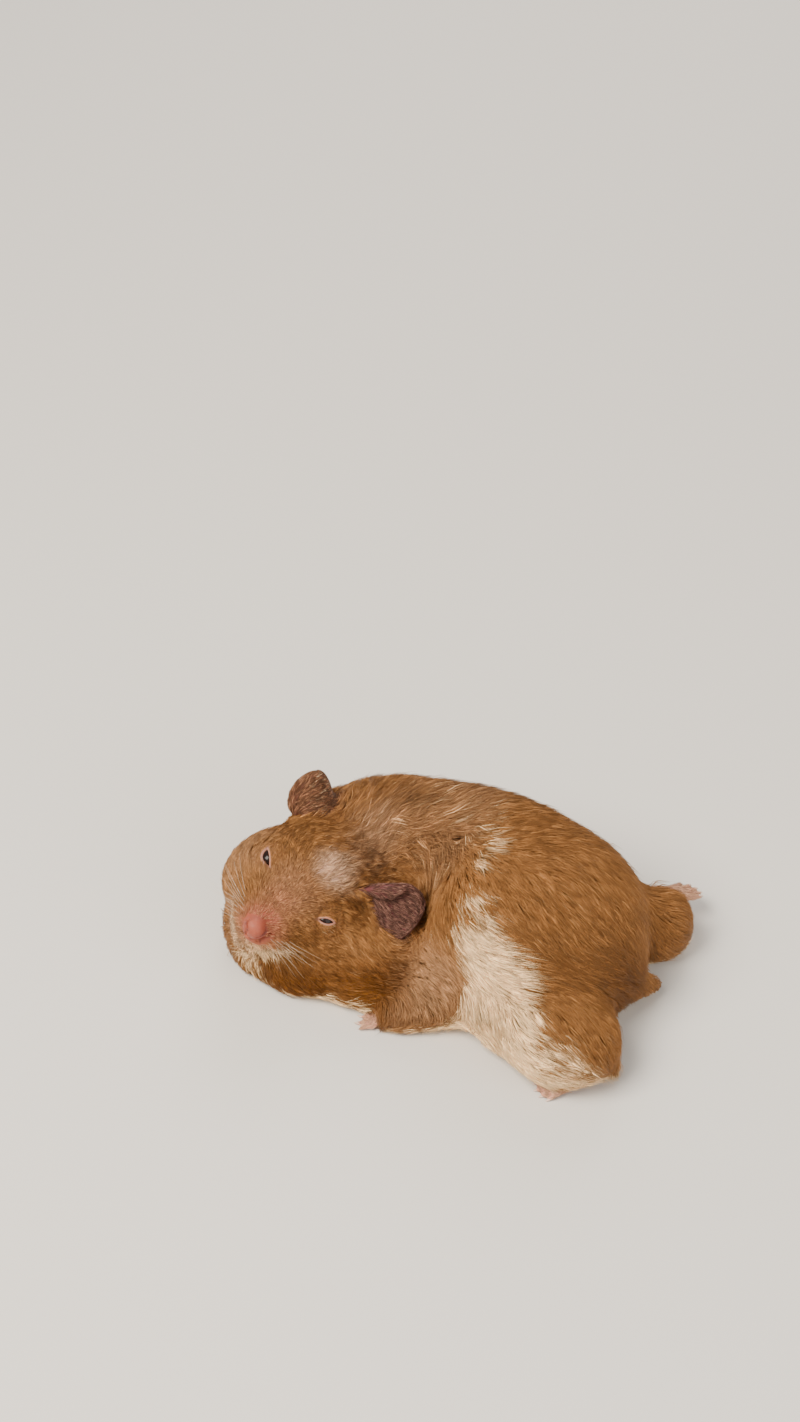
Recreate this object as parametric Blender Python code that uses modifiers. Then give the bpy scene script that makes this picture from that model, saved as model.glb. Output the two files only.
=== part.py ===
"""A Syrian hamster (Mesocricetus auratus), life size, lying flat on its belly.

The head is turned to the animal's left and rests on its left cheek, the left hind
foot is tucked under the haunch and the right hind leg is stretched out behind.

Each mass of the body is an ellipsoid or a chain of beads, out to the tips of the
coat. They are fused with a voxel remesh and smoothed, and the whole is parted into
named pieces by pairs of cutters that differ by the width of the cut.

Working frame: the animal lies along X with its head towards -X, its left side
towards -Y and the floor at Z = 0. The finished model is moved at the end, so that
its origin is the centre of its footprint.
"""

import math

import bmesh
import bpy
from mathutils import Matrix, Vector

MM = 0.001

# ---------------------------------------------------------------- driving sizes
CUT = 0.35 * MM             # gap between neighbouring pieces
BODY_VOXEL = 1.1 * MM
BODY_SMOOTHING = 22         # passes over the fused clay
BODY_TRIANGLES = 2900
PAW_VOXEL = 0.42 * MM
RING_POINTS = 40            # round each ring of the trunk
BEAD_STEP = 0.35            # spacing of beads, as a share of the smaller radius

# Trunk: an axis on the floor, with the rump swung towards the animal's left.
TRUNK_CENTRE = Vector((22.0, -22.0, 0.0)) * MM
TRUNK_TURN = math.radians(-36.0)
BACK = Vector((math.cos(TRUNK_TURN), math.sin(TRUNK_TURN), 0.0))    # towards the rump
RIGHT = Vector((-math.sin(TRUNK_TURN), math.cos(TRUNK_TURN), 0.0))  # the animal's right
UP = Vector((0.0, 0.0, 1.0))

# Head: the point midway between the eyes, and the head's own three directions.
EYE_MIDDLE = Vector((-36.8, -9.1, 26.6)) * MM
HEAD_FORWARD = Vector((-0.53, -0.82, 0.20)).normalized()
HEAD_UP = Vector((0.51, -0.12, 0.85))
HEAD_UP = (HEAD_UP - HEAD_UP.dot(HEAD_FORWARD) * HEAD_FORWARD).normalized()
HEAD_LEFT = HEAD_UP.cross(HEAD_FORWARD)

EYE_SPACING = 21.0 * MM     # between the eyes' centres
EYE_RADIUS = 2.7 * MM
EAR_HEIGHT = 15.5 * MM
EAR_WIDTH = 20.5 * MM       # laid out flat
EAR_WALL = 1.1 * MM
EAR_ROWS = 7
EAR_COLUMNS = 8             # each side of the middle
EAR_CREASE = 5.2 * MM       # from the ear's middle line to the crease of a folded ear
EAR_CREASE_WIDTH = 1.6 * MM
EAR_ROOT = 0.14             # share of the leaf's outline that is hidden in the head
EAR_LEAN = 0.12             # how far the tip leans back, as a share of the height

HIND_FOOT_LENGTH = 15.0     # in mm, from the heel to the longest toe's tip
HIND_FOOT_WIDTH = 6.5
FOREPAW_LENGTH = 9.0
FOREPAW_WIDTH = 5.5
TOE_RADIUS = 0.95
CLAW_LENGTH = 1.3
CLAW_RADIUS = 0.32
FOOT_TRIANGLES = 320
TAIL_TRIANGLES = 160

COAT = (0.55, 0.30, 0.14)
EAR_GREY = (0.17, 0.12, 0.11)
BARE_PINK = (0.72, 0.40, 0.34)
EYE_BLACK = (0.015, 0.01, 0.01)


# ---------------------------------------------------------------- small helpers
def clear_scene():
    for obj in list(bpy.data.objects):
        bpy.data.objects.remove(obj, do_unlink=True)


def new_collection(name):
    made = bpy.data.collections.new(name)
    bpy.context.scene.collection.children.link(made)
    return made


def finish(name, colour, roughness):
    """A plain Principled BSDF material."""
    made = bpy.data.materials.new(name)
    made.use_nodes = True
    shader = made.node_tree.nodes["Principled BSDF"]
    shader.inputs["Base Color"].default_value = (*colour, 1.0)
    shader.inputs["Roughness"].default_value = roughness
    shader.inputs["Metallic"].default_value = 0.0
    return made


def on_trunk(back, right, height):
    """A point in mm along the trunk, across it and above the floor."""
    return TRUNK_CENTRE + MM * (back * BACK + right * RIGHT + height * UP)


def on_head(forward, left, up):
    """A point in mm in the head's own directions, from midway between the eyes."""
    return EYE_MIDDLE + MM * (forward * HEAD_FORWARD + left * HEAD_LEFT + up * HEAD_UP)


def placed(axes, centre, scale=(1.0, 1.0, 1.0)):
    """The matrix that lays a unit shape's X, Y and Z along three axes at a centre."""
    columns = [axis * size for axis, size in zip(axes, scale)]
    matrix = Matrix.Identity(4)
    for column, vector in enumerate(columns + [centre]):
        for row in range(3):
            matrix[row][column] = vector[row]
    return matrix


def at(x, y, z):
    """A point in mm in the working frame."""
    return Vector((x, y, z)) * MM


TRUNK_AXES = (BACK, RIGHT, UP)
HEAD_AXES = (HEAD_FORWARD, HEAD_LEFT, HEAD_UP)
NOSE_CENTRE = on_head(18.2, 0.5, -2.5)
NOSE_RADII = (2.2, 3.0, 2.3)


def through(stations, steps):
    """Rows on a smooth Catmull-Rom line through the stations."""
    ends = [stations[0], *stations, stations[-1]]
    rows = []
    for before, start, end, after in zip(ends, ends[1:], ends[2:], ends[3:]):
        for i in range(steps):
            t = i / steps
            rows.append([
                0.5 * (2 * b + (c - a) * t + (2 * a - 5 * b + 4 * c - d) * t * t
                       + (3 * b - a - 3 * c + d) * t ** 3)
                for a, b, c, d in zip(before, start, end, after)
            ])
    return rows + [list(stations[-1])]


class Clay:
    """Overlapping closed shapes, gathered to be fused into one form."""

    def __init__(self):
        self.points = []
        self.faces = []

    def add(self, points, faces):
        start = len(self.points)
        self.points.extend(points)
        self.faces.extend([start + corner for corner in face] for face in faces)

    def ellipsoid(self, centre, radii, axes=TRUNK_AXES):
        """An ellipsoid with its three radii in mm along the axes."""
        points, faces = unit_sphere(32, 20)
        stretch = placed(axes, centre, [radius * MM for radius in radii])
        self.add([stretch @ point for point in points], faces)

    def beads(self, joints):
        """Spheres along the straight runs between (point, radius in mm) joints."""
        points, faces = unit_sphere(16, 10)
        for (start, first), (end, last) in zip(joints, joints[1:]):
            step = BEAD_STEP * MM * min(first, last)
            count = max(2, math.ceil((end - start).length / step))
            for i in range(count + 1):
                share = i / count
                radius = MM * (first + share * (last - first))
                centre = start.lerp(end, share)
                self.add([centre + radius * point for point in points], faces)

    def loft(self, stations):
        """A closed skin over elliptical rings that stand across the line of stations."""
        rows = through(stations, 5)
        points = []
        for i, (x, y, z, half_width, half_height) in enumerate(rows):
            before, after = rows[max(i - 1, 0)], rows[min(i + 1, len(rows) - 1)]
            along = Vector((after[0] - before[0], after[1] - before[1], 0.0)).normalized()
            across = UP.cross(along)
            for j in range(RING_POINTS):
                turn = 2 * math.pi * j / RING_POINTS
                points.append(
                    at(x, y, z)
                    + MM * half_width * math.cos(turn) * across
                    + MM * half_height * math.sin(turn) * UP
                )
        faces = [list(range(RING_POINTS))]
        for i in range(len(rows) - 1):
            for j in range(RING_POINTS):
                k = (j + 1) % RING_POINTS
                low, high = i * RING_POINTS, (i + 1) * RING_POINTS
                faces.append([low + k, low + j, high + j, high + k])
        faces.append([len(points) - 1 - j for j in range(RING_POINTS)])
        self.add(points, faces)

    def fused(self, name, voxel, smoothing, triangles):
        """One closed mesh object: remeshed, smoothed and thinned to a triangle count."""
        rough = bpy.data.meshes.new(name + "_clay")
        rough.from_pydata(self.points, [], self.faces)
        clay = bpy.data.objects.new(name + "_clay", rough)
        bpy.context.scene.collection.objects.link(clay)
        remesh = clay.modifiers.new("fuse", "REMESH")
        remesh.mode = "VOXEL"
        remesh.voxel_size = voxel
        smooth = clay.modifiers.new("soften", "SMOOTH")
        smooth.factor = 0.5
        smooth.iterations = smoothing
        fine = evaluated_mesh(clay)
        thin = clay.modifiers.new("thin", "DECIMATE")
        thin.ratio = min(1.0, triangles / (2 * len(fine.polygons)))
        return settled(clay, name)


def unit_sphere(segments, rings):
    """(points, faces) of a sphere of radius 1."""
    shape = bmesh.new()
    bmesh.ops.create_uvsphere(shape, u_segments=segments, v_segments=rings, radius=1.0)
    points = [vertex.co.copy() for vertex in shape.verts]
    faces = [[vertex.index for vertex in face.verts] for face in shape.faces]
    shape.free()
    return points, faces


def evaluated_mesh(obj):
    bpy.context.view_layer.update()
    graph = bpy.context.evaluated_depsgraph_get()
    return bpy.data.meshes.new_from_object(obj.evaluated_get(graph), depsgraph=graph)


def settled(obj, name):
    """A new object that holds obj's evaluated mesh. obj is removed."""
    mesh = evaluated_mesh(obj)
    mesh.name = name
    bpy.data.objects.remove(obj, do_unlink=True)
    made = bpy.data.objects.new(name, mesh)
    bpy.context.scene.collection.objects.link(made)
    return made


def cutter(name, centre, radii, axes, grow=0.0):
    """An ellipsoid that cuts, with radii in mm, larger by grow all round."""
    mesh = bpy.data.meshes.new(name)
    shape = bmesh.new()
    sizes = [radius * MM + grow for radius in radii]
    bmesh.ops.create_uvsphere(
        shape, u_segments=16, v_segments=10, radius=1.0, matrix=placed(axes, centre, sizes)
    )
    shape.to_mesh(mesh)
    shape.free()
    return helper(name, mesh)


def helper(name, mesh):
    made = bpy.data.objects.new(name, mesh)
    made.display_type = "WIRE"
    made.hide_render = True
    cutters.objects.link(made)
    return made


def swollen(obj, distance):
    """A cutter like obj, with its surface moved out by distance."""
    mesh = obj.data.copy()
    shape = bmesh.new()
    shape.from_mesh(mesh)
    shape.normal_update()
    moves = [(vertex, vertex.normal * distance) for vertex in shape.verts]
    for vertex, move in moves:
        vertex.co += move
    shape.to_mesh(mesh)
    shape.free()
    return helper(obj.name + "_swollen", mesh)


def boolean(obj, other, operation):
    """obj with one Boolean applied, under the same name."""
    modifier = obj.modifiers.new(operation.lower(), "BOOLEAN")
    modifier.operation = operation
    modifier.solver = "EXACT"
    modifier.object = other
    return settled(obj, obj.name)


def parted(whole, name, centre, radii, axes=TRUNK_AXES):
    """(what lies inside an ellipsoid, the rest), with a cut between the two."""
    copy = bpy.data.objects.new(name, whole.data.copy())
    bpy.context.scene.collection.objects.link(copy)
    piece = boolean(copy, cutter(name + "_inside", centre, radii, axes), "INTERSECT")
    rest = boolean(whole, cutter(name + "_outside", centre, radii, axes, CUT), "DIFFERENCE")
    return piece, rest


def largest_body(obj):
    """Keeps only the largest connected body of a mesh."""
    shape = bmesh.new()
    shape.from_mesh(obj.data)
    left = set(shape.verts)
    bodies = []
    while left:
        found = {left.pop()}
        edge = set(found)
        while edge:
            edge = {e.other_vert(v) for v in edge for e in v.link_edges} - found
            found |= edge
        left -= found
        bodies.append(found)
    keep = max(bodies, key=len)
    bmesh.ops.delete(shape, geom=[v for v in shape.verts if v not in keep], context="VERTS")
    shape.to_mesh(obj.data)
    shape.free()
    return obj


# ---------------------------------------------------------------- the furred body
# Stations along the trunk in mm: x, y and height of the middle, then the half width
# and the half height there.
TRUNK_STATIONS = (
    (-31, 9, 18, 4, 5),
    (-26, 16, 20, 13, 14),
    (-15, 20, 20, 15, 17),
    (1, 14, 20, 17, 20),
    (15, 2, 21, 22, 23.5),
    (24, -13, 21, 29.5, 24),
    (35, -21, 19, 27, 22),
    (44, -27, 17, 18, 16),
    (49, -30, 15, 5, 6),
)


def trunk_masses(clay):
    clay.loft(TRUNK_STATIONS)


def head_masses(clay):
    clay.ellipsoid(on_head(-13, 0, -7), (21, 17.5, 17), HEAD_AXES)    # skull
    clay.ellipsoid(on_head(0, 0, -5), (14, 12, 10), HEAD_AXES)        # bridge
    clay.ellipsoid(on_head(5, 0, -7.5), (13, 10.5, 8.5), HEAD_AXES)   # muzzle
    clay.ellipsoid(on_head(13, 0, -5), (6, 5.5, 4.5), HEAD_AXES)      # snout
    clay.ellipsoid(on_head(5, 0, -14), (9, 9, 8), HEAD_AXES)          # chin
    clay.ellipsoid(on_head(-9, 2, -20), (19, 17, 14), HEAD_AXES)      # throat
    clay.ellipsoid(on_head(-7, 10, -12), (15, 11.5, 12), HEAD_AXES)   # left cheek
    clay.ellipsoid(on_head(-6, -11, -9), (15, 9.5, 12), HEAD_AXES)    # right cheek
    clay.ellipsoid(at(-37, -14, 8), (14, 11, 9))                      # fluff below the jaw
    clay.ellipsoid(at(-22, -16, 8), (15, 13, 11))                     # side of the neck
    clay.ellipsoid(at(-7, -10, 8), (12, 14, 9))                       # chest
    clay.ellipsoid(at(-11, 0, 10), (13, 14, 10))                      # neck behind the jaw
    clay.ellipsoid(at(-20, 11, 17), (13, 13, 11))                     # crown to nape


def leg_masses(clay):
    clay.beads([(at(6, -20, 12), 13), (at(2, -29, 8), 8)])       # left shoulder, elbow
    clay.beads([(at(2, -29, 8), 8), (at(-10, -31, 5), 6)])       # left forearm
    clay.beads([(at(-14, 28, 12), 14), (at(-29, 34, 6), 6)])     # right shoulder, forearm
    clay.ellipsoid(at(29.5, -45, 12), (16.5, 15, 12))            # left haunch
    clay.ellipsoid(at(20, -35, 11), (18, 14, 13))                # flank before it
    clay.ellipsoid(at(40, -5, 14), (15, 15, 14))                 # right haunch
    clay.beads([(at(48, -5, 10), 10), (at(57, -3, 9), 10)])      # right hind leg


def furred_body():
    clay = Clay()
    trunk_masses(clay)
    head_masses(clay)
    leg_masses(clay)
    body = clay.fused("trunk", BODY_VOXEL, BODY_SMOOTHING, BODY_TRIANGLES)
    return boolean(body, slab_below_floor(), "DIFFERENCE")


def slab_below_floor():
    """A block under the floor, which gives the underside its small flats."""
    mesh = bpy.data.meshes.new("below_floor")
    shape = bmesh.new()
    size = 400 * MM
    bmesh.ops.create_cube(
        shape, size=size, matrix=Matrix.Translation((0.0, 0.0, -size / 2))
    )
    shape.to_mesh(mesh)
    shape.free()
    return helper("below_floor", mesh)


# ---------------------------------------------------------------- ears
def rolled_row(half, curl, fold):
    """Points across a leaf of a half width, bent to an angle at its edges.

    Its front edge, past EAR_CREASE from the middle line, is turned over by fold.
    """
    row = {0: (0.0, 0.0)}
    step = half / EAR_COLUMNS
    for sign in (1, -1):
        x = y = 0.0
        for j in range(1, EAR_COLUMNS + 1):
            share = (j - 0.5) / EAR_COLUMNS
            turn = curl * share
            if sign < 0:
                turn += fold * min(max((share * half - EAR_CREASE) / EAR_CREASE_WIDTH, 0.0), 1.0)
            x += step * math.sin(turn)
            y += step * math.cos(turn)
            row[sign * j] = (x, sign * y)
    return [row[j] for j in range(-EAR_COLUMNS, EAR_COLUMNS + 1)]


def ear_shell(name, base, tip_way, open_way, curls, fold):
    """A rounded leaf, rolled about its height and open towards open_way.

    curls are the angles in degrees at the edges, at the ear's base and at its tip.
    """
    curl_base, curl_tip, crease = (math.radians(angle) for angle in (*curls, fold))
    points = []
    for i in range(EAR_ROWS + 1):
        up = 0.98 * i / EAR_ROWS    # stops short of the point, where the row would vanish
        half = EAR_WIDTH / 2 * math.sin(math.pi * (EAR_ROOT + (1 - EAR_ROOT) * up)) ** 0.6
        curl = curl_base + (curl_tip - curl_base) * up
        lean = -EAR_LEAN * EAR_HEIGHT * up * up
        for x, y in rolled_row(half, curl, crease):
            points.append((x + lean, y, EAR_HEIGHT * up))
    across = 2 * EAR_COLUMNS + 1
    faces = [
        (i * across + j, i * across + j + 1, (i + 1) * across + j + 1, (i + 1) * across + j)
        for i in range(EAR_ROWS)
        for j in range(across - 1)
    ]
    mesh = bpy.data.meshes.new(name)
    mesh.from_pydata(points, [], faces)
    tip = head_way(tip_way)
    opening = head_way(open_way)
    opening = (opening - opening.dot(tip) * tip).normalized()
    mesh.transform(placed((opening, tip.cross(opening), tip), base))
    ear = bpy.data.objects.new(name, mesh)
    bpy.context.scene.collection.objects.link(ear)
    wall = ear.modifiers.new("wall", "SOLIDIFY")
    wall.thickness = EAR_WALL
    wall.offset = 0.0
    return settled(ear, name)


def head_way(amounts):
    forward, left, up = amounts
    return (forward * HEAD_FORWARD + left * HEAD_LEFT + up * HEAD_UP).normalized()


# ---------------------------------------------------------------- feet and tail
def foot(name, heel, toe_way, sole_way, length, width, toes, fan):
    """A bare foot with its toes and claws, from the heel in the direction toe_way."""
    forward = Vector(toe_way).normalized()
    down = Vector(sole_way)
    down = (down - down.dot(forward) * forward).normalized()
    side = forward.cross(down)
    thick = TOE_RADIUS * width / HIND_FOOT_WIDTH

    def spot(along, across, below=0.0):
        return heel + MM * (along * forward + across * side + below * down)

    clay = Clay()
    ball_along = 0.55 * length  # where the toes leave the sole
    clay.beads([
        (spot(-0.3 * length, 0.0, -0.8), 2.0 * thick),
        (spot(0.0, 0.0), 1.8 * thick),
        (spot(ball_along, 0.0), 1.7 * thick),
    ])
    for i in range(toes):
        share = 2 * i / (toes - 1) - 1
        turn = math.radians(fan) * share
        root = spot(ball_along, 0.38 * width * share)
        reach = (length - ball_along) * (1.0 - 0.28 * share ** 2)   # outer toes are shorter
        way = math.cos(turn) * forward + math.sin(turn) * side
        middle = root + MM * reach * 0.6 * way
        tip = root + MM * reach * (way + 0.12 * down)
        claw = tip + MM * (CLAW_LENGTH * way + 0.5 * down)
        clay.beads([
            (root, 1.15 * thick), (middle, thick), (tip, 0.9 * thick),
            (claw, CLAW_RADIUS),
        ])
    return clay.fused(name, PAW_VOXEL, 2, FOOT_TRIANGLES)


def clear_of(piece, obstacle):
    """What is left of a piece outside the obstacle."""
    return largest_body(boolean(piece, obstacle, "DIFFERENCE"))


# ---------------------------------------------------------------- eyes and nose
def ball(name, centre, radii, segments=16):
    mesh = bpy.data.meshes.new(name)
    shape = bmesh.new()
    bmesh.ops.create_uvsphere(
        shape, u_segments=segments, v_segments=segments // 2, radius=MM,
        matrix=placed(HEAD_AXES, centre, radii),
    )
    shape.to_mesh(mesh)
    shape.free()
    made = bpy.data.objects.new(name, mesh)
    bpy.context.scene.collection.objects.link(made)
    return made


# ---------------------------------------------------------------- the model
clear_scene()
cutters = new_collection("cutters")

coat = finish("golden_coat", COAT, 0.8)
ear_skin = finish("ear_skin", EAR_GREY, 0.7)
bare_skin = finish("bare_skin", BARE_PINK, 0.5)
eye_surface = finish("eye_surface", EYE_BLACK, 0.1)

body = furred_body()
below_floor = bpy.data.objects["below_floor"]

sides = {"left": 1, "right": -1}
eyes = {}
for side, sign in sides.items():
    centre = on_head(0, sign * EYE_SPACING / 2 / MM, 0)
    radii = (EYE_RADIUS / MM,) * 3
    eyes[side] = ball("eye_" + side, centre, radii)
    socket = cutter("socket_" + side, centre, radii, HEAD_AXES, CUT)
    body = boolean(body, socket, "DIFFERENCE")
nose = ball("nose", NOSE_CENTRE, NOSE_RADII)
body = boolean(body, cutter("nose_bed", NOSE_CENTRE, NOSE_RADII, HEAD_AXES, CUT), "DIFFERENCE")

near_body = swollen(body, CUT)
ears = {
    "left": ear_shell(
        "ear_left", on_head(-13.6, 15.0, 3.5), (0, 0.58, 0.82), (0.9, 0.1, 0.35), (60, 40), 135
    ),
    "right": ear_shell(
        "ear_right", on_head(-19.1, -8.2, 3.8), (-0.15, -0.8, 0.5), (-0.49, -0.44, -0.9), (120, 90), 0
    ),
}
feet = {
    "hindfoot_left": foot(
        "hindfoot_left", at(38.5, -50, 2.3), (-0.95, -0.25, -0.06), (0, 0, -1),
        HIND_FOOT_LENGTH, HIND_FOOT_WIDTH, 5, 14,
    ),
    "hindfoot_right": foot(
        "hindfoot_right", at(56, 4.5, 13), (0.76, 0.5, -0.5), (-0.2, 0, 1),
        HIND_FOOT_LENGTH, HIND_FOOT_WIDTH, 5, 14,
    ),
    "forepaw_left": foot(
        "forepaw_left", at(-12, -32, 1.8), (-0.95, 0.25, -0.08), (0, 0, -1),
        FOREPAW_LENGTH, FOREPAW_WIDTH, 4, 20,
    ),
    "forepaw_right": foot(
        "forepaw_right", at(-33, 34.5, 1.8), (-0.97, 0.1, -0.08), (0, 0, -1),
        FOREPAW_LENGTH, FOREPAW_WIDTH, 4, 20,
    ),
}
tail_clay = Clay()
tail_clay.beads([(at(46, -27, 10), 3.5), (at(50, -24, 7), 2.8), (at(55, -20, 4), 1.7)])
tail = tail_clay.fused("tail", PAW_VOXEL, 2, TAIL_TRIANGLES)

for name, piece in feet.items():
    feet[name] = clear_of(boolean(piece, below_floor, "DIFFERENCE"), near_body)
for side, piece in ears.items():
    ears[side] = clear_of(piece, near_body)
tail = clear_of(tail, near_body)

head, body = parted(body, "head", on_head(-7, 0, -11), (31, 27, 25), HEAD_AXES)
neck, body = parted(body, "neck", at(-24, 8, 12), (24, 27, 30))
foreleg_left, body = parted(body, "foreleg_left", at(-3, -34, 4), (18, 11, 13))
hindleg_left, body = parted(body, "hindleg_left", at(33, -50, 8), (21, 17, 19))
foreleg_right, body = parted(body, "foreleg_right", at(-26, 38, 4), (16, 13, 14))
hindleg_right, trunk = parted(body, "hindleg_right", at(55, -1, 8), (17, 15, 17))

for piece in (head, neck, foreleg_left, foreleg_right, hindleg_left, hindleg_right, trunk):
    piece.data.materials.append(coat)
for piece in (*feet.values(), tail, nose):
    piece.data.materials.append(bare_skin)
for side in sides:
    ears[side].data.materials.append(ear_skin)
    eyes[side].data.materials.append(eye_surface)

# The origin goes to the middle of the footprint, on the floor.
nodes = [head, neck, trunk, foreleg_left, foreleg_right, hindleg_left, hindleg_right]
nodes += [*feet.values(), *ears.values(), *eyes.values(), nose, tail]
corners = [vertex.co for node in nodes for vertex in node.data.vertices]
low = [min(corner[axis] for corner in corners) for axis in range(3)]
high = [max(corner[axis] for corner in corners) for axis in range(3)]
shift = -Vector(((low[0] + high[0]) / 2, (low[1] + high[1]) / 2, low[2]))
for node in nodes:
    node.data.transform(Matrix.Translation(shift))
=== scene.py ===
# %% [markdown]
# # A Syrian hamster at rest
# A life-size golden hamster with a pale band lies on its belly, its head turned to its left and
# laid on the cheek. The solids of the frame reach out to the tips of the coat. Here a skin is made
# just inside them, a face is worked into the skin, and tufts of hair are laid over it, so that
# the tips come back to the outline that the frame gives.

# %% Load the frame
import math

import bmesh
import bpy
import numpy as np
from mathutils import Matrix, Vector
from mathutils.bvhtree import BVHTree
from mathutils.kdtree import KDTree


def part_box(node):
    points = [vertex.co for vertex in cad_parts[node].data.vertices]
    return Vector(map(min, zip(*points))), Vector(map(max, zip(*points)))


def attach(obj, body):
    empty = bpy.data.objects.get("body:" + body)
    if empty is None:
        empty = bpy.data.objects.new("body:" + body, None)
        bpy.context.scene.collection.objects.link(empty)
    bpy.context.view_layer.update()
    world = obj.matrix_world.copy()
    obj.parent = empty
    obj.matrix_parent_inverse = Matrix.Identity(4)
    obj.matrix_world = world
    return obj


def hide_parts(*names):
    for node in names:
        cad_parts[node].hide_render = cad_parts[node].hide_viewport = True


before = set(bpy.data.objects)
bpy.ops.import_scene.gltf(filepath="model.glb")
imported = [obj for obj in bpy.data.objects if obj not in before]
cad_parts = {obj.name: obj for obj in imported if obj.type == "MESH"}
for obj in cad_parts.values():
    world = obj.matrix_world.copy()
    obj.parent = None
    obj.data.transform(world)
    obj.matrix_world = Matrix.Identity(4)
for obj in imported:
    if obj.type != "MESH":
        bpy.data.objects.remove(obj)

MM = 0.001
chance = np.random.default_rng(11)
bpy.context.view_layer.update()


def add_object(name, data):
    """A new object, linked to the scene."""
    made = bpy.data.objects.new(name, data)
    bpy.context.scene.collection.objects.link(made)
    return made


def shade_smooth(mesh):
    mesh.polygons.foreach_set("use_smooth", np.ones(len(mesh.polygons), bool))


# %% [markdown]
# ## Places on the animal
# A maker finds places on an animal from its bones and its face. The three small nodes of the face
# give the head its own directions: the line between the eyes points to the animal's left, and the
# nose gives the way forward. A place on the body is given as shares of a node's box, so that it
# follows the frame if the frame changes.

# %% The head's own directions
def middle(name):
    """The centre of a node's box, as an array in metres."""
    low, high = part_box(name)
    return np.array((low + high) / 2)


def unit(vector):
    return vector / np.maximum(np.linalg.norm(vector, axis=-1, keepdims=True), 1e-9)


EYE_RADIUS = float((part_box("eye_left")[1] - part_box("eye_left")[0]).x / 2)
NOSE_DROP = 2.5 * MM        # how far the nose's centre lies below the line of the eyes
eyes_middle = (middle("eye_left") + middle("eye_right")) / 2
HEAD_LEFT = unit(middle("eye_left") - middle("eye_right"))
to_nose = middle("nose") - eyes_middle
to_nose -= to_nose.dot(HEAD_LEFT) * HEAD_LEFT
nose_reach = np.linalg.norm(to_nose)
dip = math.asin(NOSE_DROP / nose_reach)
raised = unit(np.cross(to_nose, HEAD_LEFT))
HEAD_FORWARD = unit(math.cos(dip) * unit(to_nose) + math.sin(dip) * raised)
HEAD_UP = np.cross(HEAD_FORWARD, HEAD_LEFT)
HEAD_AXES = np.array([HEAD_FORWARD, HEAD_LEFT, HEAD_UP])
print("forward, left and up of the head:", np.round(HEAD_AXES, 2).tolist())


def on_head(forward, left, up):
    """A place in mm along the head's directions, from midway between the eyes."""
    return eyes_middle + MM * np.array((forward, left, up)) @ HEAD_AXES


def in_head(points):
    """Points in mm along the head's directions: the reverse of on_head."""
    return (points - eyes_middle) @ HEAD_AXES.T / MM


def in_box(name, along, across, up):
    """A place given as shares of a node's box, from its low corner to its high one."""
    low, high = (np.array(corner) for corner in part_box(name))
    return low + (high - low) * (along, across, up)


# %% [markdown]
# ## Camera, floor and light
# The animal is seen from about 0.8 m away, from above its left side. It lies low in an upright
# picture. One large soft light stands above the side of its head, a weaker one fills from the side
# of its rump, a third edges its back from behind, and the floor is plain and pale.

# %% Camera
SPOT_UNDER_NECK = Vector((-0.006, 0.0091, 0.0))
CAMERA_DISTANCE = 0.789
CAMERA_PITCH = math.radians(40.0)
LENS = 75.95                # on a sensor 36 mm high
ABOVE_SPOT = 0.0602         # the picture's middle lies this far above the spot
LEFT_OF_SPOT = 0.0105

look = Vector((0.0, math.cos(CAMERA_PITCH), -math.sin(CAMERA_PITCH)))
picture_up = Vector((0.0, math.sin(CAMERA_PITCH), math.cos(CAMERA_PITCH)))
camera = add_object("camera", bpy.data.cameras.new("camera"))
camera.location = SPOT_UNDER_NECK - CAMERA_DISTANCE * look + ABOVE_SPOT * picture_up
camera.location.x -= LEFT_OF_SPOT
camera.rotation_euler = look.to_track_quat("-Z", "Y").to_euler()
camera.data.lens = LENS
camera.data.sensor_width = 36.0
camera.data.clip_start = 0.01
bpy.context.scene.camera = camera


# %% Lights and world
def area_light(name, place, size, power, colour):
    """A soft square light that faces the animal."""
    data = bpy.data.lights.new(name, "AREA")
    data.size = size
    data.energy = power
    data.color = colour
    light = add_object(name, data)
    light.location = place
    light.rotation_euler = (-Vector(place)).to_track_quat("-Z", "Y").to_euler()


area_light("key", (-0.45, -0.35, 0.8), 0.55, 20.5, (1.0, 0.93, 0.82))
area_light("fill", (0.55, -0.65, 0.45), 0.9, 7.0, (1.0, 0.97, 0.93))
area_light("rim", (0.1, 0.8, 0.6), 0.6, 5.5, (1.0, 0.95, 0.88))
world = bpy.data.worlds.new("studio")
bpy.context.scene.world = world
world.use_nodes = True
backdrop = world.node_tree.nodes["Background"].inputs
backdrop["Color"].default_value = (1.0, 0.97, 0.93, 1.0)
backdrop["Strength"].default_value = 0.5


# %% Small helpers for materials
def new_material(name, inputs):
    """A material, its node tree and its Principled BSDF, with that shader's inputs set by name."""
    made = bpy.data.materials.new(name)
    made.use_nodes = True
    shader = made.node_tree.nodes["Principled BSDF"]
    for key, value in inputs.items():
        shader.inputs[key].default_value = value
    return made, made.node_tree, shader


def node(tree, kind, **settings):
    """Adds a node, and sets its properties and, by name, its inputs."""
    made = tree.nodes.new(kind)
    for key, value in settings.items():
        if hasattr(made, key):
            setattr(made, key, value)
        else:
            made.inputs[key].default_value = value
    return made


def link(tree, start, end):
    tree.links.new(start, end)


def multiplied(tree, colour, factor):
    """The output that holds a colour times a factor."""
    mix = node(tree, "ShaderNodeMix", data_type="RGBA", blend_type="MULTIPLY")
    mix.inputs[0].default_value = 1.0
    link(tree, colour, mix.inputs[6])
    link(tree, factor, mix.inputs[7])
    return mix.outputs[2]


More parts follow.
